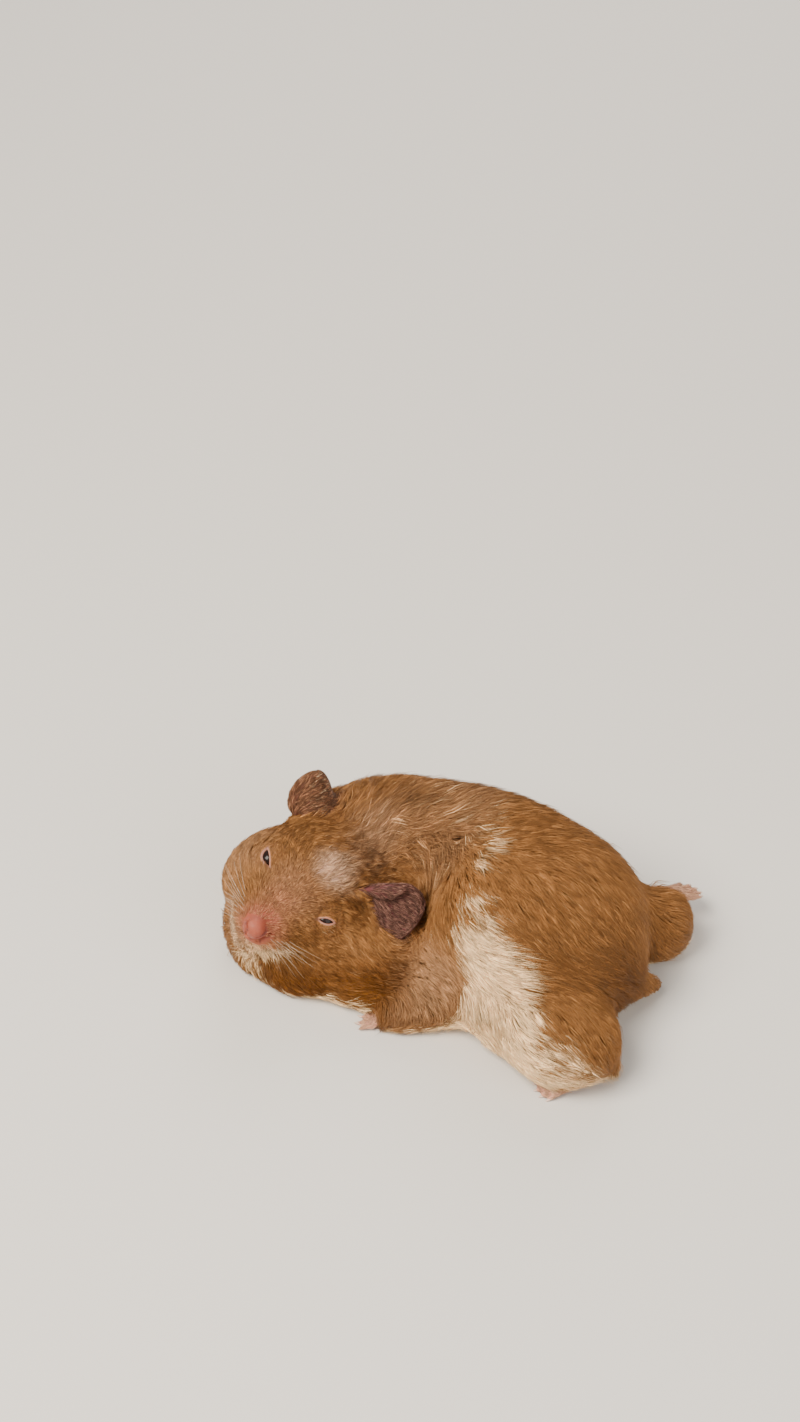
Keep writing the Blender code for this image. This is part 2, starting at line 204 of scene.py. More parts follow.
def ranged(tree, value, low, high):
    """The output that spreads a value from 0 to 1 over the range from low to high."""
    made = node(tree, "ShaderNodeMapRange", **{"To Min": low, "To Max": high})
    link(tree, value, made.inputs["Value"])
    return made.outputs["Result"]


# %% Floor
FLOOR_SIZE = 6.0
floor_mesh = bpy.data.meshes.new("floor")
shape = bmesh.new()
bmesh.ops.create_grid(shape, x_segments=1, y_segments=1, size=FLOOR_SIZE / 2)
shape.to_mesh(floor_mesh)
shape.free()
floor = add_object("floor", floor_mesh)
PAINT = {"Base Color": (0.62, 0.59, 0.55, 1.0), "Roughness": 0.85}
floor_mesh.materials.append(new_material("floor_paint", PAINT)[0])

# %% [markdown]
# ## Meshes as arrays
# Most of what follows works on every point of a mesh at once, so the points are read into arrays,
# changed there and written back. Two tools are used all over: a mean over neighbours, which
# smooths shapes as well as values, and a soft ramp, which fades one treatment into the next.

# %% Arrays of a mesh
def points_of(mesh):
    flat = np.empty(len(mesh.vertices) * 3, np.float32)
    mesh.vertices.foreach_get("co", flat)
    return flat.reshape(-1, 3).astype(float)


def normals_of(mesh):
    flat = np.empty(len(mesh.vertices) * 3, np.float32)
    mesh.vertex_normals.foreach_get("vector", flat)
    return flat.reshape(-1, 3).astype(float)


def edges_of(mesh):
    flat = np.empty(len(mesh.edges) * 2, np.int32)
    mesh.edges.foreach_get("vertices", flat)
    return flat.reshape(-1, 2)


def move_points(mesh, points):
    mesh.vertices.foreach_set("co", np.ascontiguousarray(points, np.float32).ravel())
    mesh.update()


def softened(values, edges, passes, share=0.6):
    """Values of the points, each moved towards its neighbours' mean in every pass."""
    starts = np.concatenate([edges[:, 0], edges[:, 1]])
    ends = np.concatenate([edges[:, 1], edges[:, 0]])
    count = np.maximum(np.bincount(starts, minlength=len(values)), 1)[:, None]
    values = np.array(values, float).reshape(len(values), -1)
    share = np.broadcast_to(np.reshape(share, (-1, 1)), (len(values), 1))
    for _ in range(passes):
        mean = np.stack(
            [np.bincount(starts, column[ends], len(values)) for column in values.T], axis=1
        )
        values = values + share * (mean / count - values)
    return values


def surface_of(mesh):
    """A search tree over the faces of a mesh."""
    return BVHTree.FromPolygons(points_of(mesh).tolist(), [face.vertices for face in mesh.polygons])


def ramp(value, start, end):
    """0 up to start, 1 from end on, and a smooth rise between them. It may fall instead."""
    share = np.clip((value - start) / (end - start), 0.0, 1.0)
    return share * share * (3.0 - 2.0 * share)


def distance_to(points, name, margin=4 * MM):
    """How far each point is from a node's surface, in mm. It is only found near its box."""
    low, high = (np.array(corner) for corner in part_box(name))
    near = np.all((points > low - margin) & (points < high + margin), axis=1)
    tree = BVHTree.FromPolygons(*node_copy(name))
    found = np.full(len(points), margin / MM)
    found[near] = [tree.find_nearest(point)[3] / MM for point in points[near]]
    return found


def nearest_of(points, names):
    """How far each point is from the nearest of some nodes, in mm."""
    return np.min([distance_to(points, name) for name in names], axis=0)


# %% [markdown]
# ## The skin
# Under the coat a hamster is one unbroken skin. The frame's nodes are parted by thin cuts, so
# copies of them are swelled a little, until they overlap, and fused with a voxel remesh. Toes keep
# their size, as swelling would join them into a paddle.

# %% Fuse the flesh
LEGS = ("foreleg_left", "foreleg_right", "hindleg_left", "hindleg_right")
PAWS = ("forepaw_left", "forepaw_right", "hindfoot_left", "hindfoot_right")
EARS = ("ear_left", "ear_right")
EYES = ("eye_left", "eye_right")
FLESH = ("trunk", "neck", "head", "nose", "tail", *LEGS, *PAWS, *EARS)
SWELL = 0.35 * MM           # more than half of the widest cut
SKIN_VOXEL = 0.5 * MM


def node_copy(name, swell=None):
    """(points, faces) of a node's mesh, its corners merged and moved out by swell(points)."""
    shape = bmesh.new()
    shape.from_mesh(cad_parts[name].data)
    bmesh.ops.remove_doubles(shape, verts=shape.verts, dist=0.002 * MM)
    shape.normal_update()
    points = np.array([vertex.co[:] for vertex in shape.verts])
    if swell:
        points += swell(points)[:, None] * np.array([vertex.normal[:] for vertex in shape.verts])
    faces = [[vertex.index for vertex in face.verts] for face in shape.faces]
    shape.free()
    return points.tolist(), faces


def swell_at(points):
    """How far points are moved out. Toes keep their size, so that they stay apart."""
    on_paw = 1 - ramp(nearest_of(points, PAWS), 0.3, 1.0)
    return SWELL * (1 - on_paw * ramp(nearest_of(points, LEGS), 1.0, 3.0))


def fused(names, voxel):
    """One closed mesh of quads over several nodes."""
    points, faces = [], []
    for name in names:
        own_points, own_faces = node_copy(name, swell_at)
        faces += [[len(points) + corner for corner in face] for face in own_faces]
        points += own_points
    mesh = bpy.data.meshes.new("clay")
    mesh.from_pydata(points, [], faces)
    clay = add_object("clay", mesh)
    remesh = clay.modifiers.new("fuse", "REMESH")
    remesh.mode = "VOXEL"
    remesh.voxel_size = voxel
    graph = bpy.context.evaluated_depsgraph_get()
    made = bpy.data.meshes.new_from_object(clay.evaluated_get(graph), depsgraph=graph)
    bpy.data.objects.remove(clay)
    return made


skin_mesh = fused(FLESH + EYES, SKIN_VOXEL)
print("skin:", len(skin_mesh.vertices), "points,", len(skin_mesh.polygons), "faces")


# %% [markdown]
# ## Named places and the depth of the coat
# The coat is not equally deep all over: on the nose, lids and paws it is almost nothing, on the
# face one or two millimetres, and on the nape and back more than three. One table names a place,
# how far its influence reaches, and what the coat is like there. Every point of the skin then
# takes a weighted mean of the places near it, which gives soft changes with no borders.

# %% Places
# on the head: mm forward, left and up from midway between the eyes
HEAD_PLACES = {
    "nose_tip": (20, 0, -3), "muzzle": (13, 0, 1), "bridge": (6, 0, 5), "brow": (-2, 0, 9),
    "forehead": (-6, 2.5, 9), "chin": (13, 0, -12), "cheek_left": (2, 14, -11),
    "cheek_right": (2, -14, -8), "temple_left": (-8, 15, -3), "temple_right": (-8, -13, 2),
    "jaw_left": (-2, 12, -22), "throat": (-2, -4, -24), "jaw_front": (9.5, 13, -17),
    "jaw_low": (4, 24, -11), "chin_pale": (13.5, -3.5, -12.5),
}
# on the body: a node, and shares of its box along, across and up
BODY_PLACES = {
    "crown": ("head", 0.78, 0.58, 0.86), "nape": ("trunk", 0.29, 0.61, 0.80),
    "whorl": ("trunk", 0.46, 0.45, 0.94), "saddle": ("trunk", 0.72, 0.48, 0.97),
    "rump": ("trunk", 0.89, 0.30, 0.77), "tail_root": ("tail", 0.2, 0.3, 0.8),
    "neck_left": ("trunk", 0.14, 0.23, 0.28), "shoulder_left": ("foreleg_left", 0.45, 0.75, 0.9),
    "elbow_left": ("foreleg_left", 0.75, 0.3, 0.5),
    "wrist_left": ("foreleg_left", 0.08, 0.35, 0.3), "side_left": ("trunk", 0.40, 0.17, 0.60),
    "belly_left": ("hindleg_left", 0.03, 0.44, 0.35), "flank_left": ("trunk", 0.71, 0.11, 0.68),
    "haunch_left": ("hindleg_left", 0.65, 0.4, 0.9),
    "knee_left": ("hindleg_left", 0.3, 0.08, 0.5),
    "heel_left": ("hindleg_left", 0.95, 0.15, 0.15),
    "shoulder_right": ("trunk", 0.25, 0.92, 0.35),
    "wrist_right": ("foreleg_right", 0.08, 0.5, 0.3), "side_right": ("trunk", 0.70, 0.74, 0.44),
    "haunch_right": ("hindleg_right", 0.35, 0.7, 0.9),
    "ankle_right": ("hindleg_right", 0.95, 0.6, 0.5), "band_top": ("trunk", 0.44, 0.42, 0.92),
    "band_upper": ("trunk", 0.43, 0.34, 0.87), "band_shoulder": ("trunk", 0.39, 0.23, 0.74),
    "band_side": ("trunk", 0.43, 0.12, 0.54), "band_right": ("trunk", 0.46, 0.86, 0.55),
    "band_low_right": ("trunk", 0.50, 0.92, 0.20), "ridge_low": ("trunk", 0.44, 0.40, 0.91),
    "ridge_high": ("trunk", 0.45, 0.62, 0.94), "haunch_front": ("hindleg_left", 0.35, 0.10, 0.45),
    "rump_side": ("trunk", 0.89, 0.15, 0.45),
}
PLACES = {name: on_head(*place) for name, place in HEAD_PLACES.items()}
PLACES |= {name: in_box(*place) for name, place in BODY_PLACES.items()}
print(len(PLACES), "named places")

# %% The coat at each place
# place: reach, depth, length, width of a tuft (in mm), tufts for each square mm, toss (how far
# the locks part, in radians) and wave (in mm)
COAT = {
    "nose_tip": (4, 0.1, 0.8, 0.10, 6.0, 0.15, 0.0),
    "muzzle": (5, 0.4, 1.5, 0.12, 17.0, 0.15, 0.0),
    "bridge": (6, 0.6, 2.0, 0.13, 16.0, 0.16, 0.0),
    "brow": (6, 0.8, 2.8, 0.14, 14.0, 0.18, 0.0),
    "forehead": (6, 1.1, 3.6, 0.15, 11.0, 0.22, 0.1),
    "chin": (6, 0.9, 3.0, 0.14, 13.0, 0.3, 0.0),
    "cheek_left": (8, 1.6, 5.0, 0.17, 11.0, 0.16, 0.1),
    "cheek_right": (8, 1.5, 4.6, 0.16, 11.0, 0.16, 0.1),
    "temple_left": (7, 1.7, 6.2, 0.17, 11.0, 0.18, 0.1),
    "temple_right": (7, 1.6, 5.0, 0.17, 11.0, 0.24, 0.2),
    "jaw_left": (9, 2.6, 8.0, 0.20, 7.5, 0.18, 0.3),
    "throat": (9, 2.4, 7.0, 0.24, 5.0, 0.2, 0.2),
    "crown": (9, 2.8, 10.5, 0.15, 11.0, 0.24, 1.1),
    "nape": (12, 3.9, 12.5, 0.16, 9.5, 0.26, 1.35),
    "whorl": (12, 3.4, 9.0, 0.17, 9.0, 0.20, 0.6),
    "saddle": (14, 3.0, 9.5, 0.20, 5.6, 0.13, 0.2),
    "rump": (14, 3.0, 9.5, 0.20, 5.6, 0.12, 0.15),
    "tail_root": (7, 1.6, 5.5, 0.20, 6.0, 0.14, 0.1),
    "neck_left": (9, 2.8, 8.5, 0.20, 7.5, 0.20, 0.3),
    "shoulder_left": (8, 2.4, 7.0, 0.20, 7.5, 0.16, 0.2),
    "elbow_left": (7, 1.8, 5.5, 0.20, 7.5, 0.16, 0.1),
    "wrist_left": (5, 0.8, 2.6, 0.17, 10.0, 0.12, 0.0),
    "side_left": (12, 2.9, 9.5, 0.20, 6.4, 0.14, 0.2),
    "belly_left": (10, 2.4, 8.0, 0.20, 6.4, 0.14, 0.2),
    "flank_left": (14, 3.0, 9.5, 0.20, 6.2, 0.12, 0.15),
    "haunch_left": (11, 2.6, 8.0, 0.20, 6.8, 0.13, 0.15),
    "knee_left": (9, 2.2, 6.5, 0.20, 7.0, 0.14, 0.1),
    "heel_left": (6, 1.2, 3.5, 0.20, 8.0, 0.12, 0.0),
    "shoulder_right": (13, 3.0, 9.0, 0.26, 4.2, 0.16, 0.3),
    "wrist_right": (5, 0.8, 2.6, 0.17, 9.0, 0.12, 0.0),
    "side_right": (16, 3.0, 9.5, 0.26, 4.0, 0.13, 0.2),
    "haunch_right": (12, 2.8, 8.0, 0.24, 5.0, 0.13, 0.2),
    "ankle_right": (6, 1.2, 3.5, 0.22, 7.0, 0.12, 0.0),
}


def spread(points, table):
    """For each point, the mean of a table's rows, weighted by nearness to their places."""
    total = np.full(len(points), 1e-9)
    mean = np.zeros((len(points), len(next(iter(table.values()))) - 1))
    for place, (reach, *values) in table.items():
        apart = np.linalg.norm(points - PLACES[place], axis=1) / (reach * MM)
        weight = 1.0 / (0.05 + apart**4)
        total += weight
        mean += weight[:, None] * np.array(values)
    return mean / total[:, None]


# %% [markdown]
# ## Smoothing, and drawing the skin in
# The frame's solids are cut into broad facets, which a maker would rub down. Each pass moves
# every point towards the mean of its neighbours. Ears, toes, nose and tail are thin, so they are
# rubbed far less. Then the skin is drawn in along its normals by the depth of the coat.

# %% Rub down and draw in
# how much each thin or bare node is rubbed, as a share of what the body gets
BARE_NODES = {"nose": 0.5, "tail": 0.6, **dict.fromkeys(PAWS, 0.04), **dict.fromkeys(EARS, 0.1)}
RUBS = 60
BARE_DEPTH = 0.1            # in mm
UNDERSIDE_DEPTH = 1.2       # in mm: the belly's coat is pressed flat by the floor

points = points_of(skin_mesh)
edges = edges_of(skin_mesh)
rub = np.ones(len(points))
for name, share in BARE_NODES.items():
    rub = np.minimum(rub, share + (1 - share) * ramp(distance_to(points, name), 0.5, 3.0))
to_eye = np.min([np.linalg.norm(points - middle(name), axis=1) / MM for name in EYES], axis=0)
by_eye = 1 - ramp(to_eye, 3.5, 8.0)
rub *= 1 - 0.6 * by_eye
points = softened(points, edges, RUBS, 0.7 * rub)
move_points(skin_mesh, points)

coat_here = spread(points, COAT)
bare_here = 1 - ramp(nearest_of(points, BARE_NODES), 0.6, 2.2)
depth = coat_here[:, 0] * (1 - 0.75 * by_eye) * (1 - bare_here) + BARE_DEPTH * bare_here
pressed_flat = ramp(-normals_of(skin_mesh)[:, 2], 0.2, 0.8)
depth += (np.minimum(depth, UNDERSIDE_DEPTH) - depth) * pressed_flat
depth = softened(depth, edges, 12)[:, 0]
drawn_in = (depth * MM + swell_at(points))[:, None] * normals_of(skin_mesh)
move_points(skin_mesh, softened(points - drawn_in, edges, 6, 0.5 * rub))
print("coat depth, in mm:", round(depth.min(), 2), "to", round(depth.max(), 2))

# %% [markdown]
# ## Thinning the skin
# The remesh is as fine on the hidden back as on the lips. A Decimate modifier with a vertex
# group takes points away from under the deep coat and keeps them on the face, paws and ears.

# %% Thin under the deep coat
SKIN_SHARE = 0.42           # of the remesh's faces


def settled(obj):
    """Applies an object's modifiers by taking its evaluated mesh."""
    graph = bpy.context.evaluated_depsgraph_get()
    mesh = bpy.data.meshes.new_from_object(obj.evaluated_get(graph), depsgraph=graph)
    obj.modifiers.clear()
    obj.data = mesh
    return mesh


skin = add_object("skin", skin_mesh)
points = points_of(skin_mesh)
deep = ramp(spread(points, COAT)[:, 0], 0.8, 2.4) * (1 - bare_here)
group = skin.vertex_groups.new(name="deep_coat")
for level in range(1, 11):
    members = np.flatnonzero(np.ceil(deep * 10) == level)
    group.add(members.tolist(), level / 10, "REPLACE")
thin = skin.modifiers.new("thin", "DECIMATE")
thin.ratio = SKIN_SHARE
thin.vertex_group = group.name
thin.vertex_group_factor = 6.0
skin_mesh = settled(skin)
print("skin:", len(skin_mesh.vertices), "points,", len(skin_mesh.polygons), "faces")

# %% [markdown]
# ## The face
# A hamster's face needs finer skin than the rest. The faces round the eyes and the nose are
# split twice before they are shaped. Each eye is round and stands out, and drowsy lids leave only
# an almond-shaped gap. The lids are raised over the ball from the skin itself: inside the gap
# the skin drops behind the ball, and round it there is a thick rim and, above, a shallow fold.

# %% Finer skin round the eyes and the nose
def split_near(mesh, centres, reach):
    """Splits every edge whose ends both lie within reach mm of one of the centres."""
    points = points_of(mesh)
    near = np.zeros(len(points), bool)
    for centre in centres:
        near |= np.linalg.norm(points - centre, axis=1) < reach * MM
    shape = bmesh.new()
    shape.from_mesh(mesh)
    shape.verts.ensure_lookup_table()
    edges = [edge for edge in shape.edges if all(near[vertex.index] for vertex in edge.verts)]
    bmesh.ops.subdivide_edges(shape, edges=edges, cuts=1, use_grid_fill=True)
    shape.to_mesh(mesh)
    shape.free()


eye_middles = [middle(name) for name in EYES]
split_near(skin_mesh, eye_middles, 4.6)
split_near(skin_mesh, [on_head(17, 1, -5)], 8.0)
split_near(skin_mesh, eye_middles, 3.9)
split_near(skin_mesh, [on_head(17.5, 1.5, -4.5)], 5.5)
print("skin:", len(skin_mesh.vertices), "points")

# %% Lids
LID = 0.32                  # thickness of a lid, in mm
SIDES = {"left": 1, "right": -1}
GAP = {"left": (1.95, 0.62, 0.58), "right": (2.25, 0.45, 1.25)}  # half length, above, below


def eye_directions(side):
    """Unit directions of an eye: out of the head, along the gap, and across it."""
    sign = SIDES[side]
    out = unit(np.array((0.66, sign * 0.27, 0.70)) @ HEAD_AXES)
    gap = np.array((-0.82, sign * 0.53, -0.17)) @ HEAD_AXES
    gap = unit(gap - gap.dot(out) * out)
    return out, gap, sign * np.cross(out, gap)


def on_ball(points, side):
    """(distance from an eye's centre, places out, along and across on its ball), in mm."""
    offset = (points - middle("eye_" + side)) / MM
    distance = np.linalg.norm(offset, axis=1)
    return distance, unit(offset) @ np.array(eye_directions(side)).T * EYE_RADIUS / MM


def inside_gap(points, side):
    """How far, in mm, points are inside the gap between the lids. It is negative outside."""
    distance, (out, length, across) = (part.T for part in on_ball(points, side))
    half, above, below = GAP[side]
    arch = np.maximum(1 - (length / half) ** 2, -8)
    inside = np.minimum(above * arch - across, across + below * arch)
    near = (out > 0) & (distance < EYE_RADIUS / MM + 3)
    return np.where(near, inside, -9.0)


def socketed(points, side):
    """Raises the skin of one side of the head to a low mound that the eye sits in."""
    centre, axes = middle("eye_" + side), np.array(eye_directions(side))
    out, length, across = (points - centre).dot(axes.T).T / MM
    beyond = np.maximum(np.hypot(length, across) - EYE_RADIUS / MM, 0)
    blend = 0.4
    wanted = blend * np.logaddexp(out / blend, (0.7 - 0.22 * beyond**2) / blend)
    near = (beyond < 5) & (out > -5)
    return points + np.where(near, wanted - out, 0)[:, None] * MM * axes[0]


def lidded(points, side):
    """The skin's points with the lids of one eye formed over its ball."""
    ball = EYE_RADIUS / MM
    distance, (out, length, across) = (part.T for part in on_ball(points, side))
    inside = inside_gap(points, side)
    blend = 0.3
    wanted = blend * np.logaddexp(distance / blend, (ball + LID) / blend)
    wanted += 0.13 * np.exp(-(((inside + 0.22) / 0.2) ** 2))
    wanted -= 0.2 * np.exp(-(((inside + 1.0) / 0.25) ** 2)) * ramp(out, 0.5, 1.5)
    wanted += ramp(inside, -0.06, 0.12) * (ball - 1.0 - wanted)
    near = (out > -1) & (distance < ball + 3)
    return points + np.where(near, wanted - distance, 0)[:, None] * MM * unit(
        points - middle("eye_" + side)
    )


points = points_of(skin_mesh)
for side in SIDES:
    points = lidded(socketed(points, side), side)
move_points(skin_mesh, points)

# %% [markdown]
# The nose is a small bare pad, with a nostril at each side that curls down and in. Below it a
# groove shaped like a U parts it from the lips. The animal lies on its left cheek, so its lips are
# pushed a little to the left. Mounds and grooves are worked into the skin along short paths.

# %% Nose and mouth
NOSTRILS = (
    ((18.6, -2.6, -1.4), (19.6, -1.9, -2.3), (20.2, -0.8, -2.9), (19.9, 0.1, -3.9)),
    ((15.6, 3.3, -1.3), (16.2, 3.8, -2.2), (17.0, 3.6, -3.2), (18.1, 3.0, -3.9)),
)
LIPS = ((19.3, -0.9, -4.4), (18.6, 0.6, -6.2), (17.6, 2.4, -6.6), (16.8, 3.8, -6.1),
        (16.0, 4.6, -4.9), (14.6, 5.0, -3.7))
MOUTH = (((18.6, 0.6, -6.4), (17.0, -1.8, -8.4), (14.0, -4.6, -9.8)),
         ((16.8, 3.8, -6.3), (14.6, 6.0, -8.2), (12.0, 7.6, -9.4)))


def string_of(mesh, path):
    """A path of places, each moved to the nearest point of the skin."""
    tree = surface_of(mesh)
    return [np.array(tree.find_nearest(place)[0]) for place in path]


def outside_string(points, stops):
    """How far, in mm, points are outside a string of beads ((place, radius in mm), ...)."""
    nearest = np.full(len(points), 1e9)
    for (start, first), (end, last) in zip(stops, stops[1:]):
        way = end - start
        share = np.clip((points - start) @ way / way.dot(way), 0, 1)
        apart = np.linalg.norm(points - start - share[:, None] * way, axis=1) / MM
        nearest = np.minimum(nearest, apart - (first + share * (last - first)))
    return nearest


def worked(mesh, path, width, height):
    """Raises the skin by height mm along a path, over width mm to each side. It may be negative."""
    points = points_of(mesh)
    apart = outside_string(points, [(place, 0.0) for place in string_of(mesh, path)])
    amount = height * np.exp(-((apart / width) ** 2))
    move_points(mesh, points + (amount * MM)[:, None] * normals_of(mesh))


# path on the head, width and height in mm
RELIEF = (
    (((17.0, 1.0, -2.0), (17.8, 1.9, -4.4)), 2.5, 0.75),        # pad
    (((14.5, -4.4, -7.0), (11.5, -6.2, -7.2)), 2.4, 0.7),       # right cushion
    (((14.0, 6.4, -6.6), (11.5, 8.0, -6.8)), 2.4, 0.7),         # left cushion
    (((18.9, -2.6, -2.6), (19.4, -2.2, -3.4)), 0.9, 0.3),       # wings of the nostrils
    (((15.4, 4.4, -2.2), (16.0, 4.4, -3.2)), 0.9, 0.3),
    (((18.3, 0.2, -7.8), (17.2, 2.6, -8.2), (16.0, 4.8, -7.4)), 1.3, 0.8),   # lip below it
    (LIPS, 0.45, -1.2),
    *((path, 0.42, -1.1) for path in NOSTRILS),
    *((path, 0.5, -0.7) for path in MOUTH),
)
for path, width, height in RELIEF:
    worked(skin_mesh, [on_head(*place) for place in path], width, height)
print(len(RELIEF), "mounds and grooves on the face")

# %% [markdown]
# Each forepaw has four toes and each hind foot five. Their tips are the points of the frame's
# paws that reach farthest from the wrist or heel, one in each equal slice of the fan of toes.
# A groove between neighbouring tips parts the toes.

# %% Toes
SKIN_CLEARANCE = 0.05 * MM  # nothing is pushed into the floor
TOES = {"forepaw_left": 4, "forepaw_right": 4, "hindfoot_left": 5, "hindfoot_right": 5}


def toes_of(name):
    """(heel, tips) of a paw: places in metres."""
    points = points_of(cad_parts[name].data)
    centre = points.mean(0)
    _, _, axes = np.linalg.svd(points - centre, full_matrices=False)
    along, across = (points - centre) @ axes[0], (points - centre) @ axes[1]
    leg = name.replace("forepaw", "foreleg").replace("hindfoot", "hindleg")
    if (centre - middle(leg)) @ axes[0] < 0:
        along = -along
    reach = along - along.min()
    heel = points[reach < 0.15 * reach.max()].mean(0)
    fan = across / (reach + 0.3 * reach.max())
    far = reach > 0.75 * reach.max()
    edges = np.linspace(fan[far].min(), fan[far].max(), TOES[name] + 1)
    tips = []
    for low, high in zip(edges, edges[1:]):
        slice_of = np.flatnonzero(far & (fan >= low) & (fan <= high))
        tips.append(points[slice_of[reach[slice_of].argmax()]])
    return heel, tips


toes = {name: toes_of(name) for name in PAWS}
split_near(skin_mesh, [tip for _, tips in toes.values() for tip in tips], 3.5)
for name, (heel, tips) in toes.items():
    for first, second in zip(tips, tips[1:]):
        between = (first + second) / 2
        web = between + 0.1 * (heel - between)
        worked(skin_mesh, [web, web + 0.4 * (heel - between)], 0.4, -0.7)
    print(name, "has", len(tips), "toes,", round(np.linalg.norm(tips[1] - heel) / MM, 1), "mm long")
points = points_of(skin_mesh)
points[:, 2] = np.maximum(points[:, 2], SKIN_CLEARANCE)
move_points(skin_mesh, points)

# %% [markdown]
# ## Unwrap
# Baking needs a flat map of the skin. It is unwrapped by its own shape, in islands of faces that
# point roughly the same way, and every tuft of hair later takes a small patch of that map at
# the place of its root.

# %% Unwrap the skin
MAP = "OFBake"
skin_mesh.uv_layers.new(name=MAP)
bpy.context.view_layer.objects.active = skin
skin.select_set(True)
bpy.ops.object.mode_set(mode="EDIT")
bpy.ops.mesh.select_all(action="SELECT")
bpy.ops.uv.smart_project(angle_limit=math.radians(66), island_margin=0.004)
bpy.ops.object.mode_set(mode="OBJECT")
shade_smooth(skin_mesh)
print("unwrapped", len(skin_mesh.loops), "corners")

# %% [markdown]
# ## The lie of the coat
# Hair grows away from the nose, over the head and back to the rump, and down the legs to the
# paws. A groomer would set it with strokes of a comb, and so does this cell: each stroke runs
# from one named place to another and sways the skin near it. At the whorl behind the shoulders
# the hair stands away from one point on all sides.

# %% Comb the skin
# each string names the places that the comb passes, in order
COMBINGS = (
    "nose_tip bridge brow forehead crown nape whorl saddle rump tail_root", "nose_tip cheek_left",
    "nose_tip cheek_right", "bridge temple_left", "bridge temple_right", "nose_tip chin throat",
    "cheek_left jaw_left", "temple_left neck_left", "temple_right crown",
    "cheek_right temple_right", "cheek_left neck_left", "jaw_left shoulder_left",
    "neck_left side_left", "neck_left shoulder_left wrist_left", "elbow_left wrist_left",
    "side_left belly_left", "nape side_left flank_left", "whorl flank_left tail_root",
    "flank_left haunch_left", "belly_left knee_left heel_left", "haunch_left heel_left",
    "crown shoulder_right", "nape side_right", "shoulder_right wrist_right",
    "shoulder_right side_right haunch_right ankle_right", "saddle haunch_right",
    "throat belly_left",
)
STROKES = [
    stroke for names in map(str.split, COMBINGS) for stroke in zip(names, names[1:])
]
STROKE_REACH = 7 * MM
WHORL_REACH = 6 * MM
WHORL_FORCE = 2.0           # against the strokes, which have 1
LIE_BLEND = 30              # passes that blend neighbouring strokes


def combed(points, normals, edges):
    """A unit direction along the skin at every point."""
    lie = np.zeros_like(points)
    for start, end in ((PLACES[a], PLACES[b]) for a, b in STROKES):
        way = end - start
        share = np.clip((points - start) @ way / way.dot(way), 0, 1)[:, None]
        apart = np.linalg.norm(points - start - share * way, axis=1) / STROKE_REACH
        lie += unit(way) / (0.1 + apart**4)[:, None]
    lie = unit(lie)
    out = points - PLACES["whorl"]
    near = np.exp(-((np.linalg.norm(out, axis=1) / WHORL_REACH) ** 2))[:, None]
    lie += WHORL_FORCE * unit(out) * near
    lie -= (lie * normals).sum(1, keepdims=True) * normals
    lie = softened(unit(lie), edges, LIE_BLEND)
    lie -= (lie * normals).sum(1, keepdims=True) * normals
    return unit(lie)


# %% [markdown]
# ## Markings
# Golden hair covers most of the animal. A pale band crosses behind the shoulders, narrow over
# the spine and broad on the side, and runs out over the belly. The cheeks and the side of the
# neck are a deeper orange. That orange is set darker than the hair's own, as painted shade, and it
# also paints the shade under the jaw and low on the side of the rump. The crown and nape are
# smoky, the ears are dark, and the same dark colour paints shade into the creases of the nostrils,
# lips and mouth. On the forehead the hair is thin and pale. Each marking is a soft mask round a
# place or along a line of places, the same for the skin and for the hair, which takes the mask at
# its root as real hair does.

# %% Masks of the markings
def around(points, place, inner, outer):
    """1 within inner mm of a place, 0 beyond outer mm."""
    return 1 - ramp(np.linalg.norm(points - PLACES[place], axis=1) / MM, inner, outer)


def ragged(points, size, seed):
    """A soft random value from -1 to 1 that changes over about size mm."""
    waves = np.random.default_rng(seed).normal(size=(9, 3))
    phase = points @ (waves.T / (size * MM)) + np.arange(9)
    return np.sin(phase).mean(1) * 1.6


EAR_SHADE = {"ear_left": 1.0, "ear_right": 0.75}
# lines of places, with a radius in mm at each
BAND_LEFT = (("band_top", 0.8), ("band_upper", 2.2), ("band_shoulder", 7.0), ("band_side", 9.5),
             ("belly_left", 11.0))
BAND_RIGHT = (("band_right", 4.5), ("band_low_right", 12.0))
RIDGE = (("ridge_low", 1.6), ("ridge_high", 2.0))
# marking: (place, strength, full within, gone beyond), the last two in mm
PATCHES = {
    # the cheek and the side of the neck are a deeper orange; the patches at the jaw and low on the
    # side of the rump are painted shade
    "orange_and_shade": (
        ("jaw_front", 0.8, 4, 12), ("jaw_low", 0.7, 4, 12), ("jaw_left", 0.9, 6, 15),
        ("neck_left", 0.9, 6, 13), ("cheek_left", 0.2, 4, 11), ("rump_side", 0.55, 5, 17),
    ),
    "smoky": (("nape", 0.9, 8, 20), ("crown", 0.6, 4, 14)),
    "thin": (
        ("forehead", 0.85, 3.0, 8.5), ("crown", 0.25, 3, 10), ("cheek_right", 0.12, 4, 14),
        ("chin_pale", 0.3, 3, 10), ("shoulder_left", 0.24, 3, 18), ("bridge", 0.15, 3, 12),
    ),
}
CREASE_WIDTH = 0.36         # of the shade in a crease of the face, in mm


def patches(points, name):
    """The sum of a marking's round patches, from 0 to 1."""
    return np.clip(
        sum(strength * around(points, place, inner, outer)
            for place, strength, inner, outer in PATCHES[name]), 0, 1
    )


def outside_line(points, line):
    """How far, in mm, points are outside a line of named places ((name, radius in mm), ...)."""
    return outside_string(points, [(PLACES[name], radius) for name, radius in line])


def creases(points):
    """1 in the creases of the nostrils, the lips and the mouth: the mask of their painted shade."""
    found = np.zeros(len(points))
    for path in (LIPS, *NOSTRILS, *MOUTH):
        places = string_of(skin_mesh, [on_head(*place) for place in path])
        apart = outside_string(points, [(place, 0.0) for place in places])
        found = np.maximum(found, np.exp(-((apart / CREASE_WIDTH) ** 2)))
    return found


